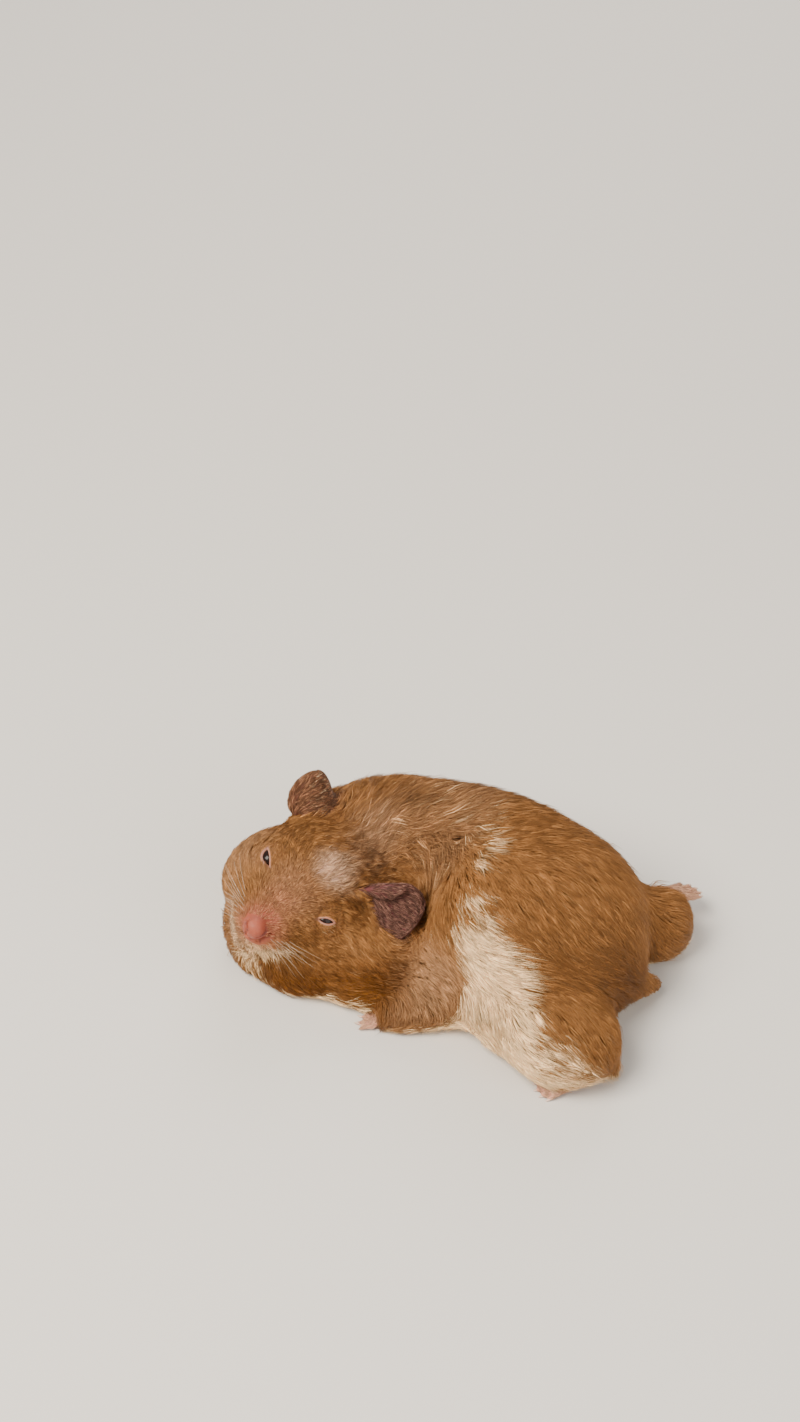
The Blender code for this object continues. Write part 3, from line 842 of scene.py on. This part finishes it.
def markings(points, normals):
    """Each marking's mask at the points, by name."""
    edge = 1.6 * ragged(points, 3.0, 1) + 1.2 * ragged(points, 1.2, 2)
    left, right = outside_line(points, BAND_LEFT) + edge, outside_line(points, BAND_RIGHT) + edge
    band = 1 - ramp(np.minimum(left, right), -3.5, 3.0)
    belly = ramp(-normals[:, 2], 0.1, 0.7)
    pale_leg = 0.6 * around(points, "haunch_front", 5, 14)
    burst = 0.85 * (1 - ramp(outside_line(points, RIDGE) + edge, -1.0, 3.0))
    chin = 0.6 * around(points, "chin_pale", 1.5, 7.0) * ramp(edge, -2.0, 1.0)
    ears = np.max([
        shade * (1 - ramp(distance_to(points, name), 0.5, 1.6)) for name, shade in EAR_SHADE.items()
    ], axis=0)
    from_snout = np.linalg.norm((in_head(points) - (16.0, 1.2, -3)) / (6.5, 6.5, 6.0), axis=1)
    blush = 0.2 * around(points, "bridge", 3, 10) + 0.35 * around(points, "muzzle", 3, 9)
    paws = 1 - ramp(nearest_of(points, PAWS), 0.7, 2.4)
    rim = ramp(np.maximum(inside_gap(points, "left"), inside_gap(points, "right")), -0.38, -0.12)
    return {
        "cream": np.clip(np.maximum.reduce([band, belly, pale_leg, burst, chin]), 0, 1),
        **{name: patches(points, name) for name in PATCHES},
        "bare": np.maximum(paws, 0.8 * rim),
        # the ears and the lid rims are dark, and the creases get painted shade
        "dark_and_crease_shade": np.maximum.reduce([ears, 0.45 * rim, 0.6 * creases(points)]),
        "pink": np.clip(np.maximum(1 - ramp(from_snout, 0.5, 1.35), blush), 0, 1),
    }


# %% [markdown]
# ## Sowing and laying the tufts
# The number of tufts on each small face follows from its area, and a fraction is settled by
# chance, which spaces them more evenly than throwing them at random. A tuft then walks over
# the skin along the lie of the coat, in as many steps as it has joints. At every joint it is
# lifted off the skin, until its tip reaches the depth of the coat. Tufts that stand near each
# other lean together towards their tips, as hair does when it forms locks.

# %% Sow the roots
def triangles_of(mesh):
    mesh.calc_loop_triangles()
    corners = np.empty(len(mesh.loop_triangles) * 3, np.int32)
    loops = corners.copy()
    mesh.loop_triangles.foreach_get("vertices", corners)
    mesh.loop_triangles.foreach_get("loops", loops)
    return corners.reshape(-1, 3), loops.reshape(-1, 3)


def sown(mesh, per_mm2):
    """(triangle, shares of its corners) for each root, at a number per mm2 for each point."""
    corners, _ = triangles_of(mesh)
    a, b, c = (points_of(mesh)[corners[:, i]] for i in range(3))
    area = np.linalg.norm(np.cross(b - a, c - a), axis=1) / 2 / MM**2
    wanted = area * per_mm2[corners].mean(1)
    count = np.floor(wanted + chance.random(len(wanted))).astype(int)
    triangle = np.repeat(np.arange(len(corners)), count)
    first, second = chance.random((2, len(triangle)))
    root = np.sqrt(first)
    return triangle, np.stack([1 - root, root * (1 - second), root * second], axis=1)


def blended(values, corners, shares):
    """Values of the skin's points, at places given by a triangle's corners and shares."""
    return (values[corners] * shares.reshape(shares.shape + (1,) * (values.ndim - 1))).sum(1)


class Ground:
    """The skin as the tufts see it: nearest point, smooth normal and lie."""

    def __init__(self, mesh, lie):
        self.points = points_of(mesh)
        self.normals = normals_of(mesh)
        self.corners, _ = triangles_of(mesh)
        self.tree = BVHTree.FromPolygons(self.points.tolist(), self.corners.tolist())
        self.face_normals = unit(self.normals[self.corners].mean(1))
        self.face_lie = unit(lie[self.corners].mean(1))

    def nearest(self, places):
        """(points on the skin, its normals, its lie) nearest to the places."""
        found = [self.tree.find_nearest(place) for place in places.tolist()]
        spots = np.array([hit[0][:] for hit in found])
        faces = np.array([hit[2] for hit in found])
        return spots, self.face_normals[faces], self.face_lie[faces]


def turned(vectors, axes, angles):
    """Vectors turned about unit axes by angles in radians."""
    cosine, sine = np.cos(angles)[:, None], np.sin(angles)[:, None]
    return vectors * cosine + np.cross(axes, vectors) * sine


# %% Lay the tufts
STRAY = 0.04                # share of the tufts that stand out from the rest
CLUMP_EACH = 12             # tufts to a lock
FLOOR_CLEARANCE = 0.2 * MM


def laid(ground, roots, normals, lie, coat, joints):
    """The joints of every tuft, as joints + 1 rows of places, and the skin's normals there.

    coat holds the depth, length, width, density, toss and wave at each root.
    """
    depth, length, _, _, toss, wave = coat.T
    total = len(roots)
    picks = np.arange(0, total, CLUMP_EACH)
    locks = KDTree(len(picks))
    for index, pick in enumerate(picks):
        locks.insert(roots[pick], index)
    locks.balance()
    lock = np.array([locks.find(root)[1] for root in roots])
    lean = toss * (chance.normal(0, 0.85, len(picks))[lock] + chance.normal(0, 0.55, total))
    phase = chance.uniform(0, 2 * math.pi, len(picks))[lock] + chance.normal(0, 0.4, total)
    stretch = chance.uniform(0.85, 1.12, len(picks))[lock] * chance.uniform(0.8, 1.15, total)
    stray = np.where(chance.random(total) < STRAY, chance.uniform(1.1, 1.45, total), 1.0)
    lift = depth * chance.uniform(0.68, 1.05, total) * stray
    spots, ups = roots, normals
    heading = turned(lie, normals, lean)
    rise = 0.42 + 0.3 * ramp(wave, 0.2, 0.9)    # low: the hair turns early and lies flat
    rows, row_ups = [roots - 0.12 * MM * normals], [normals]
    for joint in range(1, joints + 1):
        share = joint / joints
        step = (length * stretch * MM / joints)[:, None]
        spots, ups, flow = ground.nearest(spots + heading * step)
        heading = unit(heading + 1.5 * turned(flow, ups, lean))
        side = np.cross(ups, heading)
        sway = (wave * np.sin(phase + 4.2 * share) * share)[:, None] * MM
        rows.append(spots + ups * (lift * MM * share**rise)[:, None] + side * sway)
        row_ups.append(ups)
    rows = np.array(rows)
    leaders = rows[:, picks][:, lock]
    pull = 0.12 + 0.45 * ramp(wave, 0.15, 0.8)  # wavy hair forms closer locks
    for joint in range(1, joints + 1):
        together = (pull * (joint / joints) ** 1.3)[:, None]
        rows[joint] += together * (leaders[joint] - rows[joint])
    rows[:, :, 2] = np.maximum(rows[:, :, 2], FLOOR_CLEARANCE)
    return rows, np.array(row_ups), lock


# %% Build tufts as one mesh
FLAT = 0.5                  # a tuft's thickness as a share of its width
SWELLING = (0.7, 1.0, 0.75)  # its width at each joint before the tip
PATCH = 0.0028              # its patch on the map
CORNERS = 3


def tuft_faces(joints):
    """The triangles of one closed tuft: a root cap, sides and a pointed tip."""
    faces = [(0, 2, 1)]
    for joint in range(joints - 1):
        low, high = CORNERS * joint, CORNERS * (joint + 1)
        for i in range(CORNERS):
            j = (i + 1) % CORNERS
            faces += [(low + i, low + j, high + j), (low + i, high + j, high + i)]
    tip, low = CORNERS * joints, CORNERS * (joints - 1)
    faces += [(low + i, low + (i + 1) % CORNERS, tip) for i in range(CORNERS)]
    return np.array(faces)


def tuft_points(rows, ups, width):
    """The corners of every tuft: three round each joint and one at the tip."""
    joints = len(rows) - 1
    corners = []
    for joint in range(joints):
        way = unit(rows[joint + 1] - rows[max(joint - 1, 0)])
        side = unit(np.cross(ups[joint], way))
        over = np.cross(way, side)
        half = (width * SWELLING[joint] * MM / 2)[:, None]
        corners += [rows[joint] + half * side, rows[joint] - half * side,
                    rows[joint] + 2 * FLAT * half * over]
    corners.append(rows[joints])
    return np.stack(corners, axis=1)


def mesh_from(name, points, faces):
    mesh = bpy.data.meshes.new(name)
    mesh.vertices.add(len(points))
    mesh.vertices.foreach_set("co", np.ascontiguousarray(points, np.float32).ravel())
    mesh.loops.add(faces.size)
    mesh.loops.foreach_set("vertex_index", np.ascontiguousarray(faces, np.int32).ravel())
    mesh.polygons.add(len(faces))
    mesh.polygons.foreach_set("loop_start", np.arange(0, faces.size, 3, dtype=np.int32))
    shade_smooth(mesh)
    mesh.update(calc_edges=True)
    return mesh


def add_value(mesh, name, values):
    """Stores one number for each point under a name that a material can read."""
    layer = mesh.attributes.new(name, "FLOAT", "POINT")
    layer.data.foreach_set("value", np.ascontiguousarray(values, np.float32))


def tuft_mesh(name, rows, ups, width, map_places, values):
    """One mesh of closed tufts. values holds a number for each tuft, by name."""
    joints = len(rows) - 1
    corners = tuft_points(rows, ups, width)
    total, each = corners.shape[:2]
    faces = (tuft_faces(joints)[None] + each * np.arange(total)[:, None, None]).reshape(-1, 3)
    mesh = mesh_from(name, corners.reshape(-1, 3), faces)
    across = np.array([0.0, 1.0, 0.5] * joints + [0.5])
    share = np.array([j / joints for j in range(joints) for _ in range(CORNERS)] + [1.0])
    patch = PATCH * (np.stack([across, share], axis=1) - 0.5)
    spots = (map_places[:, None] + patch[None]).reshape(-1, 2)
    layer = mesh.uv_layers.new(name=MAP)
    layer.data.foreach_set("uv", spots[faces.ravel()].astype(np.float32).ravel())
    add_value(mesh, "along", np.tile(share, total))
    for key, per_tuft in values.items():
        add_value(mesh, key, np.repeat(per_tuft, each))
    return mesh


# %% [markdown]
# ## Colours
# One node group holds the rule by which the masks mix the animal's colours, and both the skin
# and the coat use it, each with its own set of colours. Hair is darker at its root and lighter
# towards its tip, and no two locks are quite the same.

# %% The markings as a shader group
MASKS = ("orange_and_shade", "smoky", "cream", "thin", "bare", "pink", "dark_and_crease_shade")


def markings_group():
    """Mixes the gold of the coat with each marking's colour by its mask on the mesh."""
    group = bpy.data.node_groups.new("markings", "ShaderNodeTree")
    group.interface.new_socket("gold", in_out="INPUT", socket_type="NodeSocketColor")
    for mask in MASKS:
        group.interface.new_socket(mask, in_out="INPUT", socket_type="NodeSocketColor")
    group.interface.new_socket("Color", in_out="OUTPUT", socket_type="NodeSocketColor")
    start = group.nodes.new("NodeGroupInput")
    end = group.nodes.new("NodeGroupOutput")
    colour = start.outputs["gold"]
    for mask in MASKS:
        amount = node(group, "ShaderNodeAttribute", attribute_name=mask)
        mix = node(group, "ShaderNodeMix", data_type="RGBA")
        link(group, amount.outputs["Fac"], mix.inputs[0])
        link(group, colour, mix.inputs[6])
        link(group, start.outputs[mask], mix.inputs[7])
        colour = mix.outputs[2]
    link(group, colour, end.inputs["Color"])
    return group


MARKINGS = markings_group()
# the orange is set darker than the hair's own deeper orange, as painted shade
HAIR_COLOURS = {
    "gold": (0.31, 0.135, 0.042), "orange_and_shade": (0.165, 0.058, 0.010), "smoky": (0.27, 0.132, 0.058),
    "cream": (1.0, 0.71, 0.40), "thin": (0.76, 0.48, 0.30), "bare": (0.62, 0.36, 0.23),
    "dark_and_crease_shade": (0.09, 0.042, 0.032), "pink": (0.50, 0.20, 0.105),
}
# most of the skin's colours are darker copies of the hair's, a painted shade for the gaps between
# the tufts; the pink, thin and bare places show the skin's own tone
SHADED_SKIN_COLOURS = {
    "gold": (0.27, 0.11, 0.035), "orange_and_shade": (0.13, 0.042, 0.006), "smoky": (0.23, 0.115, 0.06),
    "cream": (0.78, 0.52, 0.31), "thin": (0.74, 0.46, 0.33), "bare": (0.62, 0.30, 0.21),
    "dark_and_crease_shade": (0.11, 0.030, 0.030), "pink": (0.28, 0.064, 0.036),
}


def marked(tree, colours):
    """A markings node with its colours set."""
    made = tree.nodes.new("ShaderNodeGroup")
    made.node_tree = MARKINGS
    for name, colour in colours.items():
        made.inputs[name].default_value = (*colour, 1.0)
    return made


# %% Hair
ROOT_SHADE, TIP_SHADE = 0.7, 1.15
hair, tree, shader = new_material("coat_hair", {
    "Roughness": 0.55, "Specular IOR Level": 0.25, "Specular Tint": (1.0, 0.85, 0.65, 1.0),
})
share = node(tree, "ShaderNodeAttribute", attribute_name="along")
tone = node(tree, "ShaderNodeAttribute", attribute_name="tone")
both = node(tree, "ShaderNodeMath", operation="MULTIPLY")
link(tree, ranged(tree, share.outputs["Fac"], ROOT_SHADE, TIP_SHADE), both.inputs[0])
link(tree, tone.outputs["Fac"], both.inputs[1])
colour = marked(tree, HAIR_COLOURS).outputs["Color"]
link(tree, multiplied(tree, colour, both.outputs["Value"]), shader.inputs["Base Color"])

# %% Skin
skin_finish, tree, shader = new_material("skin", {
    "Roughness": 0.55, "Specular IOR Level": 0.3, "Subsurface Weight": 0.15,
    "Subsurface Radius": (1.0, 0.35, 0.25), "Subsurface Scale": 0.0012,
})
place = node(tree, "ShaderNodeTexCoord")
blotch = node(tree, "ShaderNodeTexNoise", Scale=420.0, Detail=4.0)
link(tree, place.outputs["Object"], blotch.inputs["Vector"])
colour = marked(tree, SHADED_SKIN_COLOURS).outputs["Color"]
uneven = ranged(tree, blotch.outputs["Fac"], 0.82, 1.15)
link(tree, multiplied(tree, colour, uneven), shader.inputs["Base Color"])
grain = node(tree, "ShaderNodeTexNoise", Scale=2600.0, Detail=3.0)
link(tree, place.outputs["Object"], grain.inputs["Vector"])
bump = node(tree, "ShaderNodeBump", Strength=0.5, Distance=0.0002)
link(tree, grain.outputs["Fac"], bump.inputs["Height"])
link(tree, bump.outputs["Normal"], shader.inputs["Normal"])
skin_mesh.materials.clear()
skin_mesh.materials.append(skin_finish)

# %% [markdown]
# ## Eyes
# The frame's eyeballs have the right size and place, but few faces. Smooth balls replace them,
# almost black and wet, so that they catch the lights.

# %% Eyeballs
eye_finish, tree, shader = new_material("wet_eye", {"Specular IOR Level": 0.17, "Roughness": 0.1})
place = node(tree, "ShaderNodeTexCoord")
cloud = node(tree, "ShaderNodeTexNoise", Scale=500.0)
link(tree, place.outputs["Object"], cloud.inputs["Vector"])
depths = node(tree, "ShaderNodeValToRGB")
depths.color_ramp.elements[0].color = (0.004, 0.003, 0.003, 1.0)
depths.color_ramp.elements[1].color = (0.022, 0.010, 0.008, 1.0)
link(tree, cloud.outputs["Fac"], depths.inputs["Fac"])
link(tree, depths.outputs["Color"], shader.inputs["Base Color"])

eyeballs = []
for side in SIDES:
    mesh = bpy.data.meshes.new("eyeball_" + side)
    shape = bmesh.new()
    bmesh.ops.create_icosphere(
        shape, subdivisions=5, radius=EYE_RADIUS,
        matrix=Matrix.Translation(Vector(middle("eye_" + side))),
    )
    shape.to_mesh(mesh)
    shape.free()
    shade_smooth(mesh)
    mesh.materials.append(eye_finish)
    eyeballs.append(add_object("eyeball_" + side, mesh))

# %% [markdown]
# ## Whiskers and claws
# Both are thin tapered strands. A path is a row of points with a thickness at each, and one
# Geometry Nodes tree turns all the paths of a mesh into round tubes.

# %% A tree that makes tubes from paths
def strands_tree():
    tree = bpy.data.node_groups.new("strands", "GeometryNodeTree")
    for name, kind in (("Geometry", "Geometry"), ("Corners", "Int"), ("Finish", "Material")):
        tree.interface.new_socket(name, in_out="INPUT", socket_type="NodeSocket" + kind)
    tree.interface.new_socket("Geometry", in_out="OUTPUT", socket_type="NodeSocketGeometry")
    start, end = tree.nodes.new("NodeGroupInput"), tree.nodes.new("NodeGroupOutput")
    curves = node(tree, "GeometryNodeMeshToCurve")
    thick = node(tree, "GeometryNodeInputNamedAttribute", data_type="FLOAT")
    thick.inputs["Name"].default_value = "thick"
    ring = node(tree, "GeometryNodeCurvePrimitiveCircle", Radius=1.0)
    tubes = node(tree, "GeometryNodeCurveToMesh")
    tubes.inputs["Fill Caps"].default_value = True
    real = node(tree, "GeometryNodeRealizeInstances")
    finish = node(tree, "GeometryNodeSetMaterial")
    link(tree, start.outputs["Geometry"], curves.inputs["Mesh"])
    link(tree, start.outputs["Corners"], ring.inputs["Resolution"])
    link(tree, curves.outputs["Curve"], tubes.inputs["Curve"])
    link(tree, thick.outputs["Attribute"], tubes.inputs["Scale"])
    link(tree, ring.outputs["Curve"], tubes.inputs["Profile Curve"])
    link(tree, tubes.outputs["Mesh"], real.inputs["Geometry"])
    link(tree, real.outputs["Geometry"], finish.inputs["Geometry"])
    link(tree, start.outputs["Finish"], finish.inputs["Material"])
    link(tree, finish.outputs["Geometry"], end.inputs["Geometry"])
    return tree


STRANDS = strands_tree()


def strands(name, paths, radii, corners, finish):
    """One object of tubes along paths, each an array of places with a radius for each place."""
    mesh = bpy.data.meshes.new(name)
    points = np.concatenate(paths)
    starts = np.cumsum([0] + [len(path) for path in paths[:-1]])
    edges = [
        (int(start) + i, int(start) + i + 1)
        for start, path in zip(starts, paths) for i in range(len(path) - 1)
    ]
    mesh.from_pydata(points.tolist(), edges, [])
    add_value(mesh, "thick", np.concatenate(radii))
    made = add_object(name, mesh)
    tubes = made.modifiers.new("strands", "NODES")
    tubes.node_group = STRANDS
    for item in STRANDS.interface.items_tree:
        if item.name == "Corners":
            tubes[item.identifier] = corners
        if item.name == "Finish":
            tubes[item.identifier] = finish
    shade_smooth(settled(made))
    return made


def bent(start, way, bend, length, joints):
    """A path from a place, length mm long, that bends evenly from one way towards another."""
    share = np.linspace(0, 1, joints + 1)[:, None]
    return start + length * MM * (share * unit(way) + 0.5 * share**2 * bend)


# %% Whiskers
WHISKER_ROWS, WHISKERS_IN_ROW = 3, 5
SNOUT_LEFT = 1.0            # the cheek on the floor pushes the snout this far left, in mm
WHISKER_THICK = (0.04, 0.01)  # radius at the root and at the tip, in mm
WHISKER_CLEARANCE = 0.5 * MM  # above the floor
whisker_finish = new_material(
    "whisker", {"Base Color": (0.60, 0.46, 0.32, 1.0), "Roughness": 0.4}
)[0]
skin_tree = surface_of(skin_mesh)
paths, radii = [], []
for sign in SIDES.values():
    for row in range(WHISKER_ROWS):
        for i in range(WHISKERS_IN_ROW):
            guess = on_head(14.5 - 1.1 * i, sign * (5.0 + 0.9 * i) + SNOUT_LEFT, -4.6 - 1.5 * row)
            root = np.array(skin_tree.find_nearest(guess)[0])
            way = np.array((0.35 - 0.12 * i, sign * 1.0, 0.3 - 0.28 * row))
            way += chance.normal(0, 0.1, 3)
            bend = np.array((-0.5, -0.15 * sign, -0.3)) @ HEAD_AXES
            path = bent(root, way @ HEAD_AXES, bend, 7.5 + 1.1 * i + chance.uniform(-1, 1), 10)
            path[:, 2] = np.maximum(path[:, 2], WHISKER_CLEARANCE)
            paths.append(path)
            radii.append(np.linspace(*WHISKER_THICK, len(path)) * MM)
whiskers = strands("whiskers", paths, radii, 5, whisker_finish)
print(len(paths), "whiskers")

# %% Claws
CLAW = 1.5                  # length in mm
CLAW_THICK = (0.32, 0.34, 0.32, 0.28, 0.22, 0.14, 0.04)  # radius from root to tip, in mm
CLAW_CLEARANCE = 0.4 * MM   # above the floor
DROP = np.array((0, 0, -0.3))
claw_finish = new_material("claw", {"Base Color": (0.62, 0.45, 0.36, 1.0), "Roughness": 0.35})[0]
paths, radii = [], []
for heel, tips in toes.values():
    for tip in tips:
        way = unit(tip - heel)
        path = bent(tip - 0.9 * CLAW * MM * way, way, DROP, CLAW, len(CLAW_THICK) - 1)
        path[:, 2] = np.maximum(path[:, 2], CLAW_CLEARANCE)
        paths.append(path)
        radii.append(np.array(CLAW_THICK) * MM)
claws = strands("claws", paths, radii, 8, claw_finish)
print(len(paths), "claws")

# %% [markdown]
# ## The coat
# Ears, paws and lids have short hair of their own, the nose and lips have none, and the hair that
# lies on the floor is thin. These rules change the table's values at each point of the skin. The
# masks of the markings are stored on the skin as well, for its material to read.

# %% Grow the coat
REGIONS = {
    "face": "nose_tip muzzle bridge brow forehead chin cheek_left cheek_right temple_left "
            "temple_right",
    "neck": "jaw_left throat crown nape neck_left",
    "legs": "shoulder_left elbow_left wrist_left haunch_left knee_left heel_left wrist_right "
            "haunch_right ankle_right",
}
MOST_TRIANGLES = 190_000    # in one piece of the coat

points = points_of(skin_mesh)
normals = normals_of(skin_mesh)
edges = edges_of(skin_mesh)
lie = combed(points, normals, edges)
coat_here = spread(points, COAT)
masks = markings(points, normals)
on_paw = 1 - ramp(nearest_of(points, PAWS), 0.7, 2.0)
on_ear = 1 - ramp(nearest_of(points, EARS), 0.5, 1.3)
on_nose = 1 - ramp(distance_to(points, "nose"), 0.6, 1.4)
pads = on_paw * ramp(-normals[:, 2], -0.2, 0.3)
# the columns of COAT without the reach
SHORT = {
    "paw": (0.3, 1.5, 0.13, 12.0, 0.12, 0.0), "ear": (0.55, 4.0, 0.12, 11.0, 0.25, 0.0),
    "lid": (0.35, 1.1, 0.11, 14.0, 0.1, 0.0),
}
for cover, name in ((on_paw, "paw"), (on_ear, "ear")):
    coat_here += cover[:, None] * (np.array(SHORT[name]) - coat_here)
lips = [(on_head(*place), 0.0) for place in LIPS]
on_lips = 1 - ramp(outside_string(points, lips), 1.0, 2.2)
coat_here[:, 3] *= (1 - on_nose) * (1 - pads) * (1 - on_lips)
coat_here[:, 3] *= 1 - 0.55 * around(points, "forehead", 3.5, 8.0)
coat_here[:, 1] *= 1 - 0.35 * masks["pink"]
coat_here[:, 3] *= 1 - 0.45 * masks["pink"]
for side in SIDES:
    gap = inside_gap(points, side)
    coat_here += ramp(gap, -5.0, -1.0)[:, None] * (np.array(SHORT["lid"]) - coat_here)
    coat_here[:, 3] *= 1 - ramp(gap, -0.42, -0.2)
on_floor = ramp(-normals[:, 2], 0.5, 0.95) * ramp(-points[:, 2], -4 * MM, -1 * MM)
coat_here[:, 3] *= 1 - 0.85 * on_floor
for name, values in masks.items():
    add_value(skin_mesh, name, values)

corners, loops = triangles_of(skin_mesh)
triangle, shares = sown(skin_mesh, coat_here[:, 3])
print("tufts:", len(triangle))

# %% [markdown]
# The coat is laid in regions, each split into pieces that an export can hold. No two hairs have
# the same tone: locks differ, single hairs differ within a lock, and the smoky nape is the most
# mottled. Where a pale marking fades out, each hair is pale or golden by chance, more likely pale
# near the marking, which gives the border of real fur.

# %% Lay the tufts by region
region_of_place = {place: name for name, places in REGIONS.items() for place in places.split()}
place_names = list(COAT)
nearest_place = np.argmin(
    [np.linalg.norm(points - PLACES[name], axis=1) / COAT[name][0] for name in place_names], axis=0
)
region_names = ["face", "neck", "legs", "back", "ears_paws"]
region = np.array(
    [region_names.index(region_of_place.get(name, "back")) for name in place_names]
)[nearest_place]
region[np.maximum(on_ear, on_paw) > 0.5] = region_names.index("ears_paws")

root_corners = corners[triangle]
roots = blended(points, root_corners, shares)
root_normals = unit(blended(normals, root_corners, shares))
root_lie = unit(blended(lie, root_corners, shares))
root_coat = blended(coat_here, root_corners, shares)
root_region = region[root_corners[np.arange(len(triangle)), shares.argmax(1)]]
map_flat = np.empty(len(skin_mesh.loops) * 2, np.float32)
skin_mesh.uv_layers[MAP].data.foreach_get("uv", map_flat)
root_map = blended(map_flat.reshape(-1, 2), loops[triangle], shares)
root_masks = {name: blended(values, root_corners, shares) for name, values in masks.items()}
ground = Ground(skin_mesh, lie)

MOTTLE = 0.3                # how uneven golden hair is, where smoky hair has 1
BRIGHT_HAIRS, DARK_HAIRS = 0.2, 0.15    # their shares of smoky hair
GREY_HAIRS = 0.3            # the share of light hairs on the dark ears
LOCK_CHANCE, HAIR_CHANCE = 0.55, 0.45   # what settles a hair's paleness at a marking's edge

coat_pieces = []
for number, name in enumerate(region_names):
    chosen = np.flatnonzero(root_region == number)
    joints = 3 if name == "neck" else 2
    most = MOST_TRIANGLES // len(tuft_faces(joints))
    chosen = chosen[np.argsort(roots[chosen, 0])]
    pieces = math.ceil(len(chosen) / most)
    rows, ups, lock = laid(
        ground, roots[chosen], root_normals[chosen], root_lie[chosen], root_coat[chosen], joints
    )
    smoky = root_masks["smoky"][chosen]
    mottle = MOTTLE + 0.7 * smoky
    of_lock, own = chance.random(lock.max() + 1)[lock], chance.random(len(chosen))
    tone = chance.normal(1.0, 0.1 + 0.1 * mottle)
    tone *= 1 + (0.07 + 0.18 * mottle) * chance.normal(0.0, 1.0, lock.max() + 1)[lock]
    tone *= np.where(own < BRIGHT_HAIRS * mottle, 1.25 + 0.55 * smoky, 1.0)
    tone *= np.where(own > 1 - DARK_HAIRS * mottle, 0.7 - 0.2 * smoky, 1.0)
    tone *= np.where(own < GREY_HAIRS * root_masks["dark_and_crease_shade"][chosen], 3.2, 1.0)
    cream = root_masks["cream"][chosen]
    fleck = 0.15 + 0.85 * np.maximum(ramp(cream, 0.0, 0.15), 0.7 * smoky)
    whiteness = cream - LOCK_CHANCE * of_lock - HAIR_CHANCE * own
    root_masks["cream"][chosen] = fleck * ramp(whiteness, -0.25, 0.15)
    tone *= 1 + 0.06 * ragged(roots[chosen], 5.0, 3)
    thickness = root_coat[chosen, 2] * chance.uniform(0.7, 1.25, len(chosen))
    thickness *= np.where(own < BRIGHT_HAIRS * smoky, 1.15, 1.0)
    for piece, part in enumerate(np.array_split(np.arange(len(chosen)), pieces)):
        values = {key: mask[chosen[part]] for key, mask in root_masks.items()}
        values["tone"] = np.clip(tone[part], 0.4, 3.5)
        title = f"coat_{name}_{piece + 1}"
        mesh = tuft_mesh(
            title, rows[:, part], ups[:, part], thickness[part], root_map[chosen[part]], values
        )
        mesh.materials.append(hair)
        coat_pieces.append(add_object(title, mesh))
        print(title, len(part), "tufts,", len(mesh.polygons), "triangles")

# %% Ride and finish
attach(skin, "root")
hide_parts(*FLESH)
for ball, name in zip(eyeballs, EYES):
    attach(ball, "root")
    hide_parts(name)
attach(whiskers, "root")
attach(claws, "root")
for tufts in coat_pieces:
    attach(tufts, "root")
